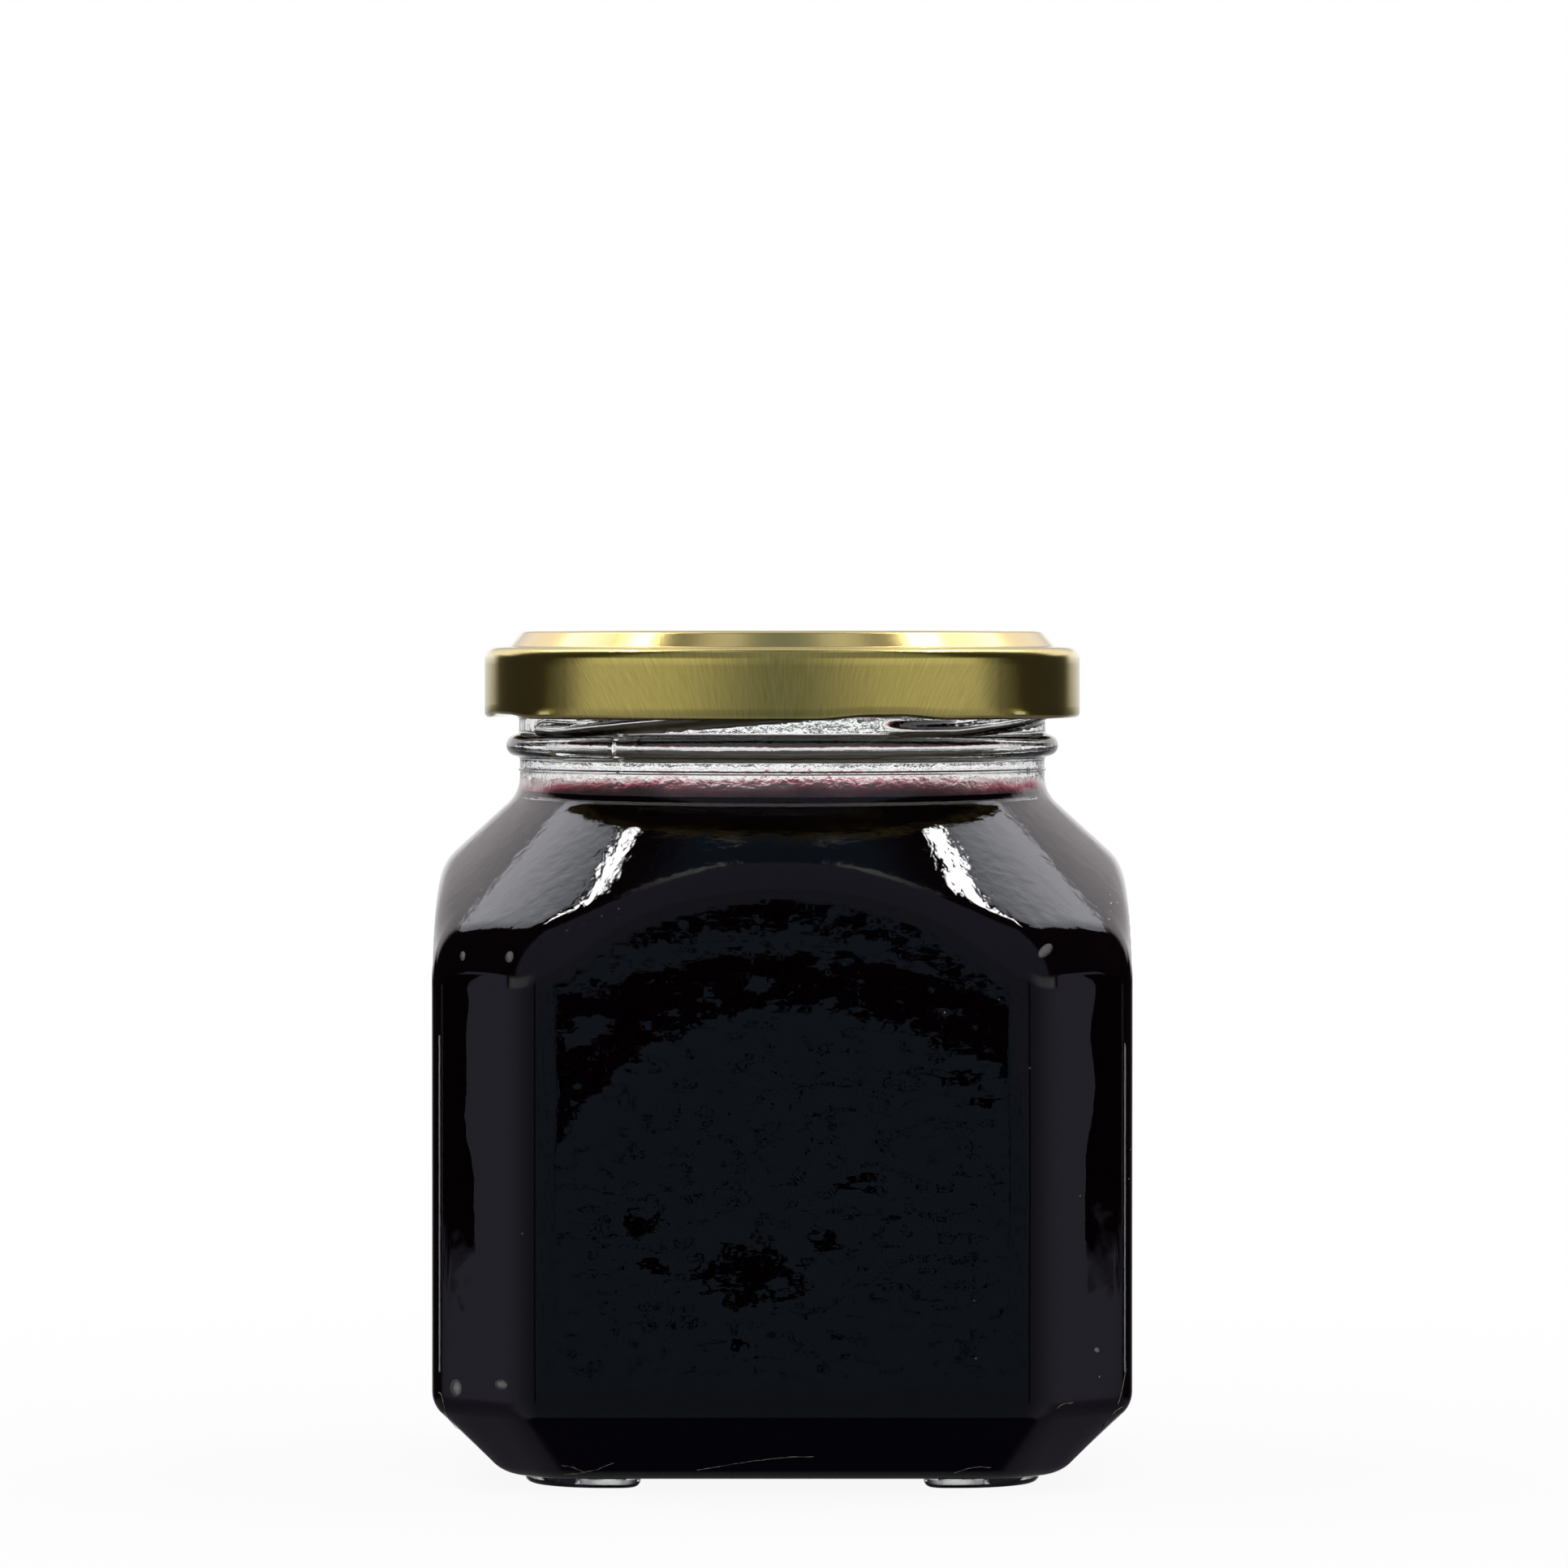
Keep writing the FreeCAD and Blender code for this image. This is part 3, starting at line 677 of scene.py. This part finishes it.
# ---------------------------------------------------------------------------------------------
# Lid. One disc of thin tinplate, brushed, lacquered gold on both sides and drawn to a cap: a
# sunk panel, a raised ring over the jar's rim, a ledge and a skirt whose edge is rolled, with
# four places of the roll folded in as lugs that hold under the thread.
# ---------------------------------------------------------------------------------------------
lid_low, lid_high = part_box("lid")
LID = lid_high.x
LID_TOP = lid_high.z
LID_EDGE = lid_low.z
SHEET = 0.25 * MM
CURL = 0.55 * MM
crest_out = NECK - 0.2 * MM
crest_in = BORE - 0.7 * MM
ledge_z = LID_TOP - 1.75 * MM
panel_z = LID_TOP - 0.8 * MM


def lid_face(shift, bend_change):
    """Half section of one face of the sheet, from the axis to the skirt's lower edge."""
    return [
        (0, panel_z + shift, 0),
        (crest_in - 1 * MM - shift * 0.4, panel_z + shift, 0.7 * MM),
        (crest_in - shift * 0.4, LID_TOP + shift, 0.6 * MM),
        (crest_out + shift * 0.6, LID_TOP + shift, 0.7 * MM + bend_change),
        (crest_out + 1.5 * MM + shift * 0.6, ledge_z + shift, 0.5 * MM),
        (LID + shift, ledge_z + shift, 1.2 * MM + bend_change),
        (LID + shift, LID_EDGE + CURL, 0),
    ]


upper = rounded(lid_face(0, 0), 8)
under = rounded(lid_face(-SHEET, -SHEET), 8)
skirt_rows = divided(upper[-2], upper[-1], 8)
curl_centre = Vector((LID - CURL, LID_EDGE + CURL))
curl_turn = [math.radians(-20 * k) for k in range(1, 14)]
curl_line = [curl_centre + Vector((math.cos(a), math.sin(a))) * CURL for a in curl_turn]
lid_line = [upper[0], Vector((12 * MM, upper[0].y))] + upper[1:-1] + skirt_rows + curl_line
lid_line += [Vector((LID - SHEET, LID_EDGE + 2.2 * CURL))]
lid_line += under[-2:0:-1] + [under[0]]
LID_COLUMNS = 240
lid = turned("lid_sheet", lid_line, LID_COLUMNS)

# Four lugs: there the roll is folded in under the thread, and the skirt above it draws up a little
LUG_MIDDLE = THREAD_FIRST - math.radians(4)
for vertex in lid.data.vertices:
    x, y, z = vertex.co
    radius = math.hypot(x, y)
    if z > LID_EDGE + 3 * MM:
        continue
    off = abs((math.atan2(y, x) - LUG_MIDDLE + math.pi / 4) % (math.pi / 2) - math.pi / 4)
    low = smooth_step((LID_EDGE + 2.4 * MM - z) / (1.8 * MM))
    arch = smooth_step((math.radians(14) - off) / math.radians(11))
    if z < LID_EDGE + 2.1 * CURL:
        fold = smooth_step((math.radians(9.2) - off) / math.radians(1.8))
        inward = smooth_step((LID - 0.35 * MM - radius) / (0.75 * MM))
        radius -= fold * inward * 2.1 * MM
        squash = 1 - 0.5 * fold * inward
        z = curl_centre.y + (z - curl_centre.y) * squash - 0.2 * MM * fold * inward
        z += 0.42 * MM * arch * low * (1 - inward)
    else:
        z += 0.42 * MM * arch * low
    angle = math.atan2(y, x)
    vertex.co = (radius * math.cos(angle), radius * math.sin(angle), z)

face_outwards(lid)

# The brushing was done on the flat sheet, so the map holds each point's place on that sheet
MAP_SIDE = 0.1                          # metres of sheet across the whole map
sheet_map = lid.data.uv_layers.new(name="flat_sheet")
for loop in lid.data.loops:
    x, y, z = lid.data.vertices[loop.vertex_index].co
    radius = max(math.hypot(x, y), 1e-6)
    flat_radius = radius + max(0, ledge_z - z)
    sheet_map.data[loop.index].uv = (x / radius * flat_radius / MAP_SIDE,
                                     y / radius * flat_radius / MAP_SIDE)

# Tinplate brushed before it was lacquered gold: the marks spread a highlight across them, and
# the clear coat adds a pale shine of its own
gold, tree, output = new_material("gold_lacquered_tinplate")
sheet_place = add_node(tree, "ShaderNodeUVMap", uv_map="flat_sheet")
# brush marks 0.24 mm apart and 3 mm long, a little coarser than real ones so that they show
stroke_place = add_node(tree, "ShaderNodeMapping", {
    "Vector": sheet_place.outputs["UV"], "Scale": (MAP_SIDE / (0.24 * MM), MAP_SIDE / (3 * MM), 1)})
strokes = add_node(tree, "ShaderNodeTexNoise",
                   {"Vector": stroke_place.outputs["Vector"], "Scale": 1.0, "Detail": 2.0})
tone = add_node(tree, "ShaderNodeValToRGB", {"Fac": strokes.outputs["Fac"]})
tone.color_ramp.elements[0].position = 0.3
tone.color_ramp.elements[0].color = linear("#e8d365")
tone.color_ramp.elements[1].position = 0.7
tone.color_ramp.elements[1].color = linear("#fae77b")
along = add_node(tree, "ShaderNodeTangent", direction_type="UV_MAP", uv_map="flat_sheet")
bump = add_node(tree, "ShaderNodeBump",
                {"Height": strokes.outputs["Fac"], "Strength": 0.2, "Distance": 0.006 * MM})
# painted highlight: the gold is painted paler over the ring and the ledge, where the lamps above shine on it
place = add_node(tree, "ShaderNodeTexCoord")
level = add_node(tree, "ShaderNodeSeparateXYZ", {0: place.outputs["Object"]})
top_highlight_share = add_node(tree, "ShaderNodeMapRange", {"Value": level.outputs["Z"], "From Min": ledge_z - 0.5 * MM,
                                              "From Max": ledge_z + 0.1 * MM, "To Max": 0.75})
off_panel = add_node(tree, "ShaderNodeMapRange", {
    "Value": distance_from_axis(tree, place), "From Min": crest_in, "From Max": crest_in + 2 * MM})
top_highlight_share = add_node(tree, "ShaderNodeMath", {0: top_highlight_share.outputs[0], 1: off_panel.outputs[0]}, operation="MULTIPLY")
gold_and_painted_highlight = add_node(tree, "ShaderNodeMix", {"Factor": top_highlight_share.outputs[0], "A": tone.outputs["Color"],
                                             "B": linear("#fbe39a")}, data_type="RGBA")
surface = add_node(tree, "ShaderNodeBsdfPrincipled", {
    "Base Color": gold_and_painted_highlight.outputs["Result"], "Metallic": 1.0, "Roughness": 0.23,
    "Anisotropic": 0.7, "Tangent": along.outputs["Tangent"],
    "Coat Weight": 1.0, "Coat Roughness": 0.05, "Normal": bump.outputs["Normal"]})
tree.links.new(surface.outputs["BSDF"], output.inputs["Surface"])
lid.data.materials.append(gold)

# Painted shade: the inside of the lid is painted a darker, duller gold than the outside, with a mottled tone,
# for the shade under the lid
lid_inside_painted_dark, tree, output = new_material("inner_gold_painted_dark")
place = add_node(tree, "ShaderNodeTexCoord")
inside_mottle = add_node(tree, "ShaderNodeTexNoise",
                {"Vector": place.outputs["Object"], "Scale": 1 / (3 * MM), "Detail": 3.0})
inside_shade_tone = add_node(tree, "ShaderNodeValToRGB", {"Fac": inside_mottle.outputs["Fac"]})
inside_shade_tone.color_ramp.elements[0].color = linear("#6b6244")
inside_shade_tone.color_ramp.elements[1].color = linear("#7d7350")
surface = add_node(tree, "ShaderNodeBsdfPrincipled", {
    "Base Color": inside_shade_tone.outputs["Color"], "Metallic": 0.6, "Roughness": 0.5})
tree.links.new(surface.outputs["BSDF"], output.inputs["Surface"])
lid.data.materials.append(lid_inside_painted_dark)
# the painted shade goes on the faces above the rolled edge that look down or in towards the axis
for face in lid.data.polygons:
    out_from_axis = face.center.x * face.normal.x + face.center.y * face.normal.y
    if face.center.z > LID_EDGE + 2 * CURL and (face.normal.z < -0.3 or out_from_axis < -0.3 * LID):
        face.material_index = 1
bpy.ops.object.shade_smooth_by_angle(angle=math.radians(50))
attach(lid, "root")
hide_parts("lid")

# ---------------------------------------------------------------------------------------------
# Stage: white paper under the jar and a white room for the camera. What the glass and the lid
# mirror is a room whose tone changes with the direction, two softboxes, two strip lamps and two
# edge lights, black paper strips at the sides with glowing grey strips above them, and a glowing
# card with black cloth behind the camera.
# ---------------------------------------------------------------------------------------------
bpy.ops.object.select_all(action="DESELECT")
bpy.ops.mesh.primitive_plane_add(size=6, location=(0, 0, 0))
floor = bpy.context.object
floor.name = "floor"
floor.visible_glossy = False
paper, tree, output = new_material("white_paper")
place = add_node(tree, "ShaderNodeTexCoord")
distance = add_node(tree, "ShaderNodeVectorMath", {0: place.outputs["Object"]}, operation="LENGTH")
open_paper = add_node(tree, "ShaderNodeMapRange", {"Value": distance.outputs["Value"], "From Min": 0.05,
                                                   "From Max": 0.3, "To Min": 0.92, "To Max": 1.0})
rays = add_node(tree, "ShaderNodeLightPath")
keep = add_node(tree, "ShaderNodeMath", {0: rays.outputs["Is Camera Ray"], 1: open_paper.outputs[0]},
                operation="MULTIPLY")
clear_of_jar = add_node(tree, "ShaderNodeMapRange", {"Value": distance.outputs["Value"], "From Min": 0.04,
                                                     "From Max": 0.12})
through_glass = add_node(tree, "ShaderNodeMath",
                         {0: rays.outputs["Is Transmission Ray"], 1: clear_of_jar.outputs[0]},
                         operation="MULTIPLY")
keep = add_node(tree, "ShaderNodeMath", {0: keep.outputs[0], 1: through_glass.outputs[0]},
                operation="MAXIMUM")
# painted shade: the paper near the jar is painted dark where it is seen through the glass, so that the feet
# look dark
in_shade = add_node(tree, "ShaderNodeMix", {
    "Factor": rays.outputs["Is Transmission Ray"], "A": (0.8, 0.8, 0.8, 1), "B": (0.03, 0.03, 0.03, 1)},
    data_type="RGBA")
lit = add_node(tree, "ShaderNodeBsdfDiffuse", {"Color": in_shade.outputs["Result"]})
white = add_node(tree, "ShaderNodeEmission", {"Color": (1, 1, 1, 1), "Strength": 1.0})
mixed = add_node(tree, "ShaderNodeMixShader", {0: keep.outputs[0], 1: lit.outputs[0], 2: white.outputs[0]})
tree.links.new(mixed.outputs[0], output.inputs["Surface"])
floor.data.materials.append(paper)

world = bpy.data.worlds.new("studio")
bpy.context.scene.world = world
world.use_nodes = True
tree = world.node_tree
tree.nodes.clear()
output = add_node(tree, "ShaderNodeOutputWorld")
direction = add_node(tree, "ShaderNodeTexCoord")
parts = add_node(tree, "ShaderNodeSeparateXYZ", {0: direction.outputs["Generated"]})
forward = add_node(tree, "ShaderNodeMath", {0: parts.outputs["Y"], 1: -1.0}, operation="MULTIPLY")
turn = add_node(tree, "ShaderNodeMath", {0: parts.outputs["X"], 1: forward.outputs[0]}, operation="ARCTAN2")
turn = add_node(tree, "ShaderNodeMath", {0: turn.outputs[0]}, operation="ABSOLUTE")
turn = add_node(tree, "ShaderNodeMath", {0: turn.outputs[0], 1: math.pi}, operation="DIVIDE")


def round_the_room(stops):
    """Colour by the turn away from the front, in degrees, the same to the left and the right."""
    node = add_node(tree, "ShaderNodeValToRGB", {"Fac": turn.outputs[0]})
    while len(node.color_ramp.elements) < len(stops):
        node.color_ramp.elements.new(0.5)
    for element, (degrees, colour) in zip(node.color_ramp.elements, stops):
        element.position = degrees / 180
        element.color = colour + (1,)
    return node.outputs["Color"]


BLACK_CLOTH = (0.012, 0.01, 0.013)
BLUE_GREY = (0.045, 0.085, 0.125)
FRONT_GREY = (0.17, 0.18, 0.26)
LILAC = (0.25, 0.25, 0.33)
SLATE = (0.09, 0.12, 0.16)
below = round_the_room([(0, SLATE), (5, SLATE), (5.6, BLACK_CLOTH), (7.4, BLACK_CLOTH),
                        (8, (0.1, 0.12, 0.17)), (30, (0.17, 0.17, 0.22)), (60, LILAC), (92, LILAC),
                        (100, BLACK_CLOTH), (140, BLACK_CLOTH), (152, (0.1, 0.1, 0.1)),
                        (166, (0.5, 0.5, 0.5)), (171, (0.5, 0.5, 0.5)), (176, (0.95, 0.95, 0.95))])
ground = round_the_room([(0, SLATE), (30, (0.2, 0.2, 0.25)), (60, LILAC), (100, (0.1, 0.09, 0.12)),
                         (150, (0.1, 0.09, 0.12)), (165, (0.1, 0.1, 0.1))])
wall = round_the_room([(0, FRONT_GREY), (9, FRONT_GREY), (35, (0.58, 0.58, 0.58)), (78, (0.64, 0.64, 0.64)),
                       (88, BLACK_CLOTH), (142, BLACK_CLOTH), (150, (0.9, 0.88, 0.87)), (170, (1, 1, 1))])
high = round_the_room([(0, FRONT_GREY), (62, FRONT_GREY), (72, BLACK_CLOTH), (127, BLACK_CLOTH),
                       (137, (1.0, 0.94, 0.97)), (156, (0.9, 0.84, 0.87)), (164, (0.68, 0.64, 0.66)),
                       (172, (0.45, 0.43, 0.44))])
WARM_PALE = (0.8, 0.78, 0.72)
overhead = round_the_room([(0, FRONT_GREY), (56, FRONT_GREY), (66, WARM_PALE), (90, WARM_PALE),
                           (100, BLUE_GREY)])
zenith = round_the_room([(0, BLUE_GREY), (180, BLUE_GREY)])
room = below
for start, end, colour in ((-1, 1, wall), (8, 12, high), (66, 76, overhead), (79.5, 82.5, zenith),
                           (-12, -20, ground), (-70, -78, None)):
    rise = add_node(tree, "ShaderNodeMapRange", {
        "Value": parts.outputs["Z"], "From Min": math.sin(math.radians(start)),
        "From Max": math.sin(math.radians(end))})
    mix = add_node(tree, "ShaderNodeMix", {"Factor": rise.outputs[0]}, data_type="RGBA")
    tree.links.new(room, mix.inputs["A"])
    mix.inputs["B"].default_value = (0.016, 0.014, 0.038, 1)
    if colour:
        tree.links.new(colour, mix.inputs["B"])
    room = mix.outputs["Result"]
rays = add_node(tree, "ShaderNodeLightPath")
seen = add_node(tree, "ShaderNodeMath",
                {0: rays.outputs["Is Camera Ray"], 1: rays.outputs["Is Transmission Ray"]},
                operation="MAXIMUM")
plain = add_node(tree, "ShaderNodeMix", {"Factor": rays.outputs["Is Glossy Ray"], "A": (0.8, 0.8, 0.8, 1),
                                         "B": room}, data_type="RGBA")
final = add_node(tree, "ShaderNodeMix", {"Factor": seen.outputs[0], "A": plain.outputs["Result"],
                                         "B": (1, 1, 1, 1)}, data_type="RGBA")
backdrop = add_node(tree, "ShaderNodeBackground", {"Color": final.outputs["Result"], "Strength": 1.0})
tree.links.new(backdrop.outputs[0], output.inputs["Surface"])


def studio_lamp(name, azimuth, elevation, distance, width, height, radiance, colour=(1, 1, 1)):
    """Area lamp that faces the jar. Azimuth is from the front towards +X, in degrees."""
    a, e = math.radians(azimuth), math.radians(elevation)
    place = Vector((math.sin(a) * math.cos(e), -math.cos(a) * math.cos(e), math.sin(e))) * distance
    lamp = bpy.data.lights.new(name, "AREA")
    lamp.shape = "RECTANGLE"
    lamp.size, lamp.size_y = width, height
    lamp.energy = radiance * math.pi * width * height
    lamp.color = colour
    lamp_object = bpy.data.objects.new(name, lamp)
    bpy.context.collection.objects.link(lamp_object)
    lamp_object.location = place + Vector((0, 0, 0.06))
    lamp_object.rotation_euler = place.to_track_quat("Z", "Y").to_euler()
    lamp_object.visible_camera = False
    lamp_object.visible_transmission = False


for side, name in ((-1, "left"), (1, "right")):
    studio_lamp(f"softbox_{name}", side * 132.5, 47, 1.4, 0.41, 0.5, 1.42, (0.93, 0.97, 1.06))
    studio_lamp(f"strip_{name}", side * 117, 59.5, 1.4, 0.36, 0.065 + side * 0.015, 24)
    studio_lamp(f"edge_light_{name}", side * 104, -5.0, 1.4, 0.16, 0.09, 2.0)

# Black strips with a torn lower end at the two sides, which darken the outer part of the flat
# corners
torn_paper, tree, output = new_material("torn_black_paper")
place = add_node(tree, "ShaderNodeTexCoord")
level = add_node(tree, "ShaderNodeSeparateXYZ", {0: place.outputs["Object"]})
fibres = add_node(tree, "ShaderNodeTexNoise",
                  {"Vector": place.outputs["Object"], "Scale": 1 / (7 * MM), "Detail": 4.0})
torn = add_node(tree, "ShaderNodeMath", {0: fibres.outputs["Fac"], 1: 0.05, 2: level.outputs["Z"]},
                operation="MULTIPLY_ADD")
whole = add_node(tree, "ShaderNodeMapRange",
                 {"Value": torn.outputs[0], "From Min": -0.045, "From Max": -0.03})
matt = add_node(tree, "ShaderNodeBsdfDiffuse", {"Color": (0.004, 0.003, 0.004, 1)})
away = add_node(tree, "ShaderNodeBsdfTransparent")
mixed = add_node(tree, "ShaderNodeMixShader", {0: whole.outputs[0], 1: away.outputs[0], 2: matt.outputs[0]})
tree.links.new(mixed.outputs[0], output.inputs["Surface"])


def hung_sheet(name, rotation, place, size, material):
    """A flat upright sheet in the room, seen only in what the glass and the lid mirror."""
    bpy.ops.mesh.primitive_plane_add(size=1, location=(0, 0, 0), rotation=rotation)
    sheet = bpy.context.object
    sheet.name = name
    bpy.ops.object.transform_apply(location=False, rotation=True, scale=False)
    sheet.data.transform(Matrix.Translation(place) @ Matrix.Diagonal(size + (1,)))
    sheet.visible_camera = False
    sheet.visible_diffuse = False
    sheet.visible_transmission = False
    sheet.visible_shadow = False
    sheet.data.materials.append(material)


STRIP_AWAY = 1.25
for side, name in ((-1, "left"), (1, "right")):
    hung_sheet(f"black_strip_{name}", (0, math.pi / 2, 0), (side * STRIP_AWAY, 0.0345, 0.0575),
               (1, 0.05, 0.315), torn_paper)

# Grey strips above the black ones, which keep the pale wall off the top of the flat corners; they glow lilac
# grey by an emission of their own, in place of grey paper lit by the room
glowing_grey_paper, tree, output = new_material("glowing_grey_paper")
glow = add_node(tree, "ShaderNodeEmission", {"Color": LILAC + (1,), "Strength": 1.0})
tree.links.new(glow.outputs[0], output.inputs["Surface"])
for side, name in ((-1, "left"), (1, "right")):
    hung_sheet(f"grey_strip_{name}", (0, math.pi / 2, 0), (side * (STRIP_AWAY + 0.02), 0, 0.16),
               (1, 0.08, 0.22), glowing_grey_paper)

# The card behind the camera glows dim blue grey by an emission of its own, with a black cloth hung over it as
# a ragged arch
CARD_AWAY = 2.4
glowing_card_material, tree, output = new_material("glowing_grey_card_and_black_cloth")
place = add_node(tree, "ShaderNodeTexCoord")
card_mm = CARD_AWAY / 0.947 + 1         # millimetres on the card for one in the jar's face
centred = add_node(tree, "ShaderNodeMapping", {
    "Vector": place.outputs["Object"], "Location": (0, 0, 95.7 / card_mm),
    "Scale": (1000 / card_mm, 0, 1000 / card_mm)})
fray = add_node(tree, "ShaderNodeMapping", {"Vector": centred.outputs["Vector"], "Scale": (0.33, 1, 0.75)})
frayed = add_node(tree, "ShaderNodeTexNoise", {"Vector": fray.outputs["Vector"], "Scale": 1.0, "Detail": 4.0,
                                               "Roughness": 0.66})
spot = add_node(tree, "ShaderNodeSeparateXYZ", {0: centred.outputs["Vector"]})
across = add_node(tree, "ShaderNodeMath", {0: spot.outputs["X"], 1: spot.outputs["X"]}, operation="MULTIPLY")
off_middle = add_node(tree, "ShaderNodeMath", {0: spot.outputs["X"]}, operation="ABSOLUTE")
lean = add_node(tree, "ShaderNodeMath", {0: spot.outputs["X"], 1: off_middle.outputs[0]},
                operation="MULTIPLY")


def arch_edge(top, bend, skew, soft, rough):
    """1 above an arch z = top - (bend +- skew) x^2, 0 below it, with a frayed edge."""
    level = add_node(tree, "ShaderNodeMath", {0: across.outputs[0], 1: bend, 2: spot.outputs["Z"]},
                     operation="MULTIPLY_ADD")
    level = add_node(tree, "ShaderNodeMath", {0: lean.outputs[0], 1: skew, 2: level.outputs[0]},
                     operation="MULTIPLY_ADD")
    level = add_node(tree, "ShaderNodeMath", {0: frayed.outputs["Fac"], 1: rough, 2: level.outputs[0]},
                     operation="MULTIPLY_ADD")
    middle = top + rough / 2
    return add_node(tree, "ShaderNodeMapRange", {"Value": level.outputs[0], "From Min": middle - soft,
                                                 "From Max": middle + soft}).outputs[0]


def side_edge(reach, rough):
    """1 nearer to the middle than a reach in mm, 0 beyond it, with a frayed edge."""
    level = add_node(tree, "ShaderNodeMath", {0: frayed.outputs["Fac"], 1: rough, 2: off_middle.outputs[0]},
                     operation="MULTIPLY_ADD")
    return add_node(tree, "ShaderNodeMapRange", {
        "Value": level.outputs[0], "From Min": reach + rough / 2 - 0.1, "From Max": reach + rough / 2 + 0.1,
        "To Min": 1.0, "To Max": 0.0}).outputs[0]


def rough_oval(x, z, wide, tall, rough, low, high):
    """1 inside an oval at a place and of a size in millimetres on the jar's face, 0 outside it."""
    hung = add_node(tree, "ShaderNodeMapping", {
        "Vector": centred.outputs["Vector"], "Location": (-x / wide, 0, -z / tall),
        "Scale": (1 / wide, 1, 1 / tall)})
    oval = add_node(tree, "ShaderNodeTexGradient", {"Vector": hung.outputs["Vector"]},
                    gradient_type="SPHERICAL")
    level = add_node(tree, "ShaderNodeMath", {0: frayed.outputs["Fac"], 1: rough, 2: oval.outputs["Fac"]},
                     operation="MULTIPLY_ADD")
    edge = add_node(tree, "ShaderNodeMapRange",
                    {"Value": level.outputs[0], "From Min": low, "From Max": high})
    return edge.outputs[0]


# a broad arch and a thin one over it
bands = []
for low, high, side in (((11.9, 0.018, -0.005, 0.15, 12), (17.8, 0.0098, 0.0, 0.15, 9), (25.2, 5)),
                        ((20.9, 0.0135, 0.004, 0.15, 12), (22.5, 0.0135, 0.004, 0.15, 19), (26.2, 5))):
    band = add_node(tree, "ShaderNodeMath", {0: arch_edge(*low), 1: arch_edge(*high)},
                    operation="SUBTRACT", use_clamp=True)
    bands.append(add_node(tree, "ShaderNodeMath", {0: band.outputs[0], 1: side_edge(*side)},
                          operation="MULTIPLY"))
black = add_node(tree, "ShaderNodeMath", {0: bands[0].outputs[0], 1: bands[1].outputs[0]},
                 operation="MAXIMUM")
# thin hems that hang down at both sides
hems = add_node(tree, "ShaderNodeMath", {0: side_edge(26.5, 3), 1: side_edge(25.9, 5)},
                operation="SUBTRACT", use_clamp=True)
hang = add_node(tree, "ShaderNodeMath", {0: 1.0, 1: arch_edge(26, 0.0135, 0.0, 0.3, 4)},
                operation="SUBTRACT", use_clamp=True)
hang = add_node(tree, "ShaderNodeMath", {0: arch_edge(-14, 0.0, 0.0, 1.5, 14), 1: hang.outputs[0]},
                operation="MULTIPLY")
hems = add_node(tree, "ShaderNodeMath", {0: hems.outputs[0], 1: hang.outputs[0]}, operation="MULTIPLY")
black = add_node(tree, "ShaderNodeMath", {0: black.outputs[0], 1: hems.outputs[0]}, operation="MAXIMUM")
# patches below and above the arches
for x, z, wide, tall in ((-3.5, -17, 7, 4.2), (-15.5, -11.3, 3.4, 2.2), (-13.5, -16, 2.6, 1.5),
                         (7.7, -7, 2.4, 2), (4.6, -13.3, 2.2, 1.6), (-4.5, -24, 1.4, 1), (-9, 21.2, 6, 2),
                         (-1.5, 22.7, 6.5, 1.9), (19, 4.2, 4, 1.4), (22, 1.6, 2.4, 1)):
    patch = rough_oval(x, z, wide, tall, 5.0, 2.82, 2.9)
    black = add_node(tree, "ShaderNodeMath", {0: black.outputs[0], 1: patch}, operation="MAXIMUM")
# two holes in the broad arch
for x, z, wide, tall in ((-21.2, 9, 4.6, 2.3), (-3.1, 14.2, 2, 1.3)):
    hole = rough_oval(x, z, wide, tall, 4.0, 2.35, 2.45)
    black = add_node(tree, "ShaderNodeMath", {0: black.outputs[0], 1: hole},
                     operation="SUBTRACT", use_clamp=True)
paler = add_node(tree, "ShaderNodeMix", {"Factor": arch_edge(26, 0.0135, 0.004, 1.5, 6),
                                         "A": (0.093, 0.144, 0.198, 1),
                                         "B": (0.13, 0.15, 0.205, 1)}, data_type="RGBA")
face = add_node(tree, "ShaderNodeMix", {"Factor": black.outputs[0], "A": paler.outputs["Result"],
                                        "B": (0.0, 0.0, 0.0, 1)}, data_type="RGBA")
glow = add_node(tree, "ShaderNodeEmission", {"Color": face.outputs["Result"], "Strength": 1.0})
tree.links.new(glow.outputs[0], output.inputs["Surface"])
hung_sheet("card", (math.pi / 2, 0, 0), (0, -HALF - CARD_AWAY, 0.12), (0.42, 1, 0.84), glowing_card_material)

camera = bpy.data.cameras.new("camera")
camera.sensor_width = 36
camera.lens = 202.6
camera_object = bpy.data.objects.new("camera", camera)
bpy.context.collection.objects.link(camera_object)
bpy.context.scene.camera = camera_object
CAMERA_AWAY, CAMERA_HIGH = 0.985, 0.0947
camera_object.location = (0, -CAMERA_AWAY, CAMERA_HIGH)
aim = Vector((0.0002, 0, CAMERA_HIGH - CAMERA_AWAY * math.tan(math.radians(1.085))))
camera_object.rotation_euler = (camera_object.location - aim).to_track_quat("Z", "Y").to_euler()
camera.clip_start, camera.clip_end = 0.05, 20
bpy.context.scene.view_settings.view_transform = "Standard"
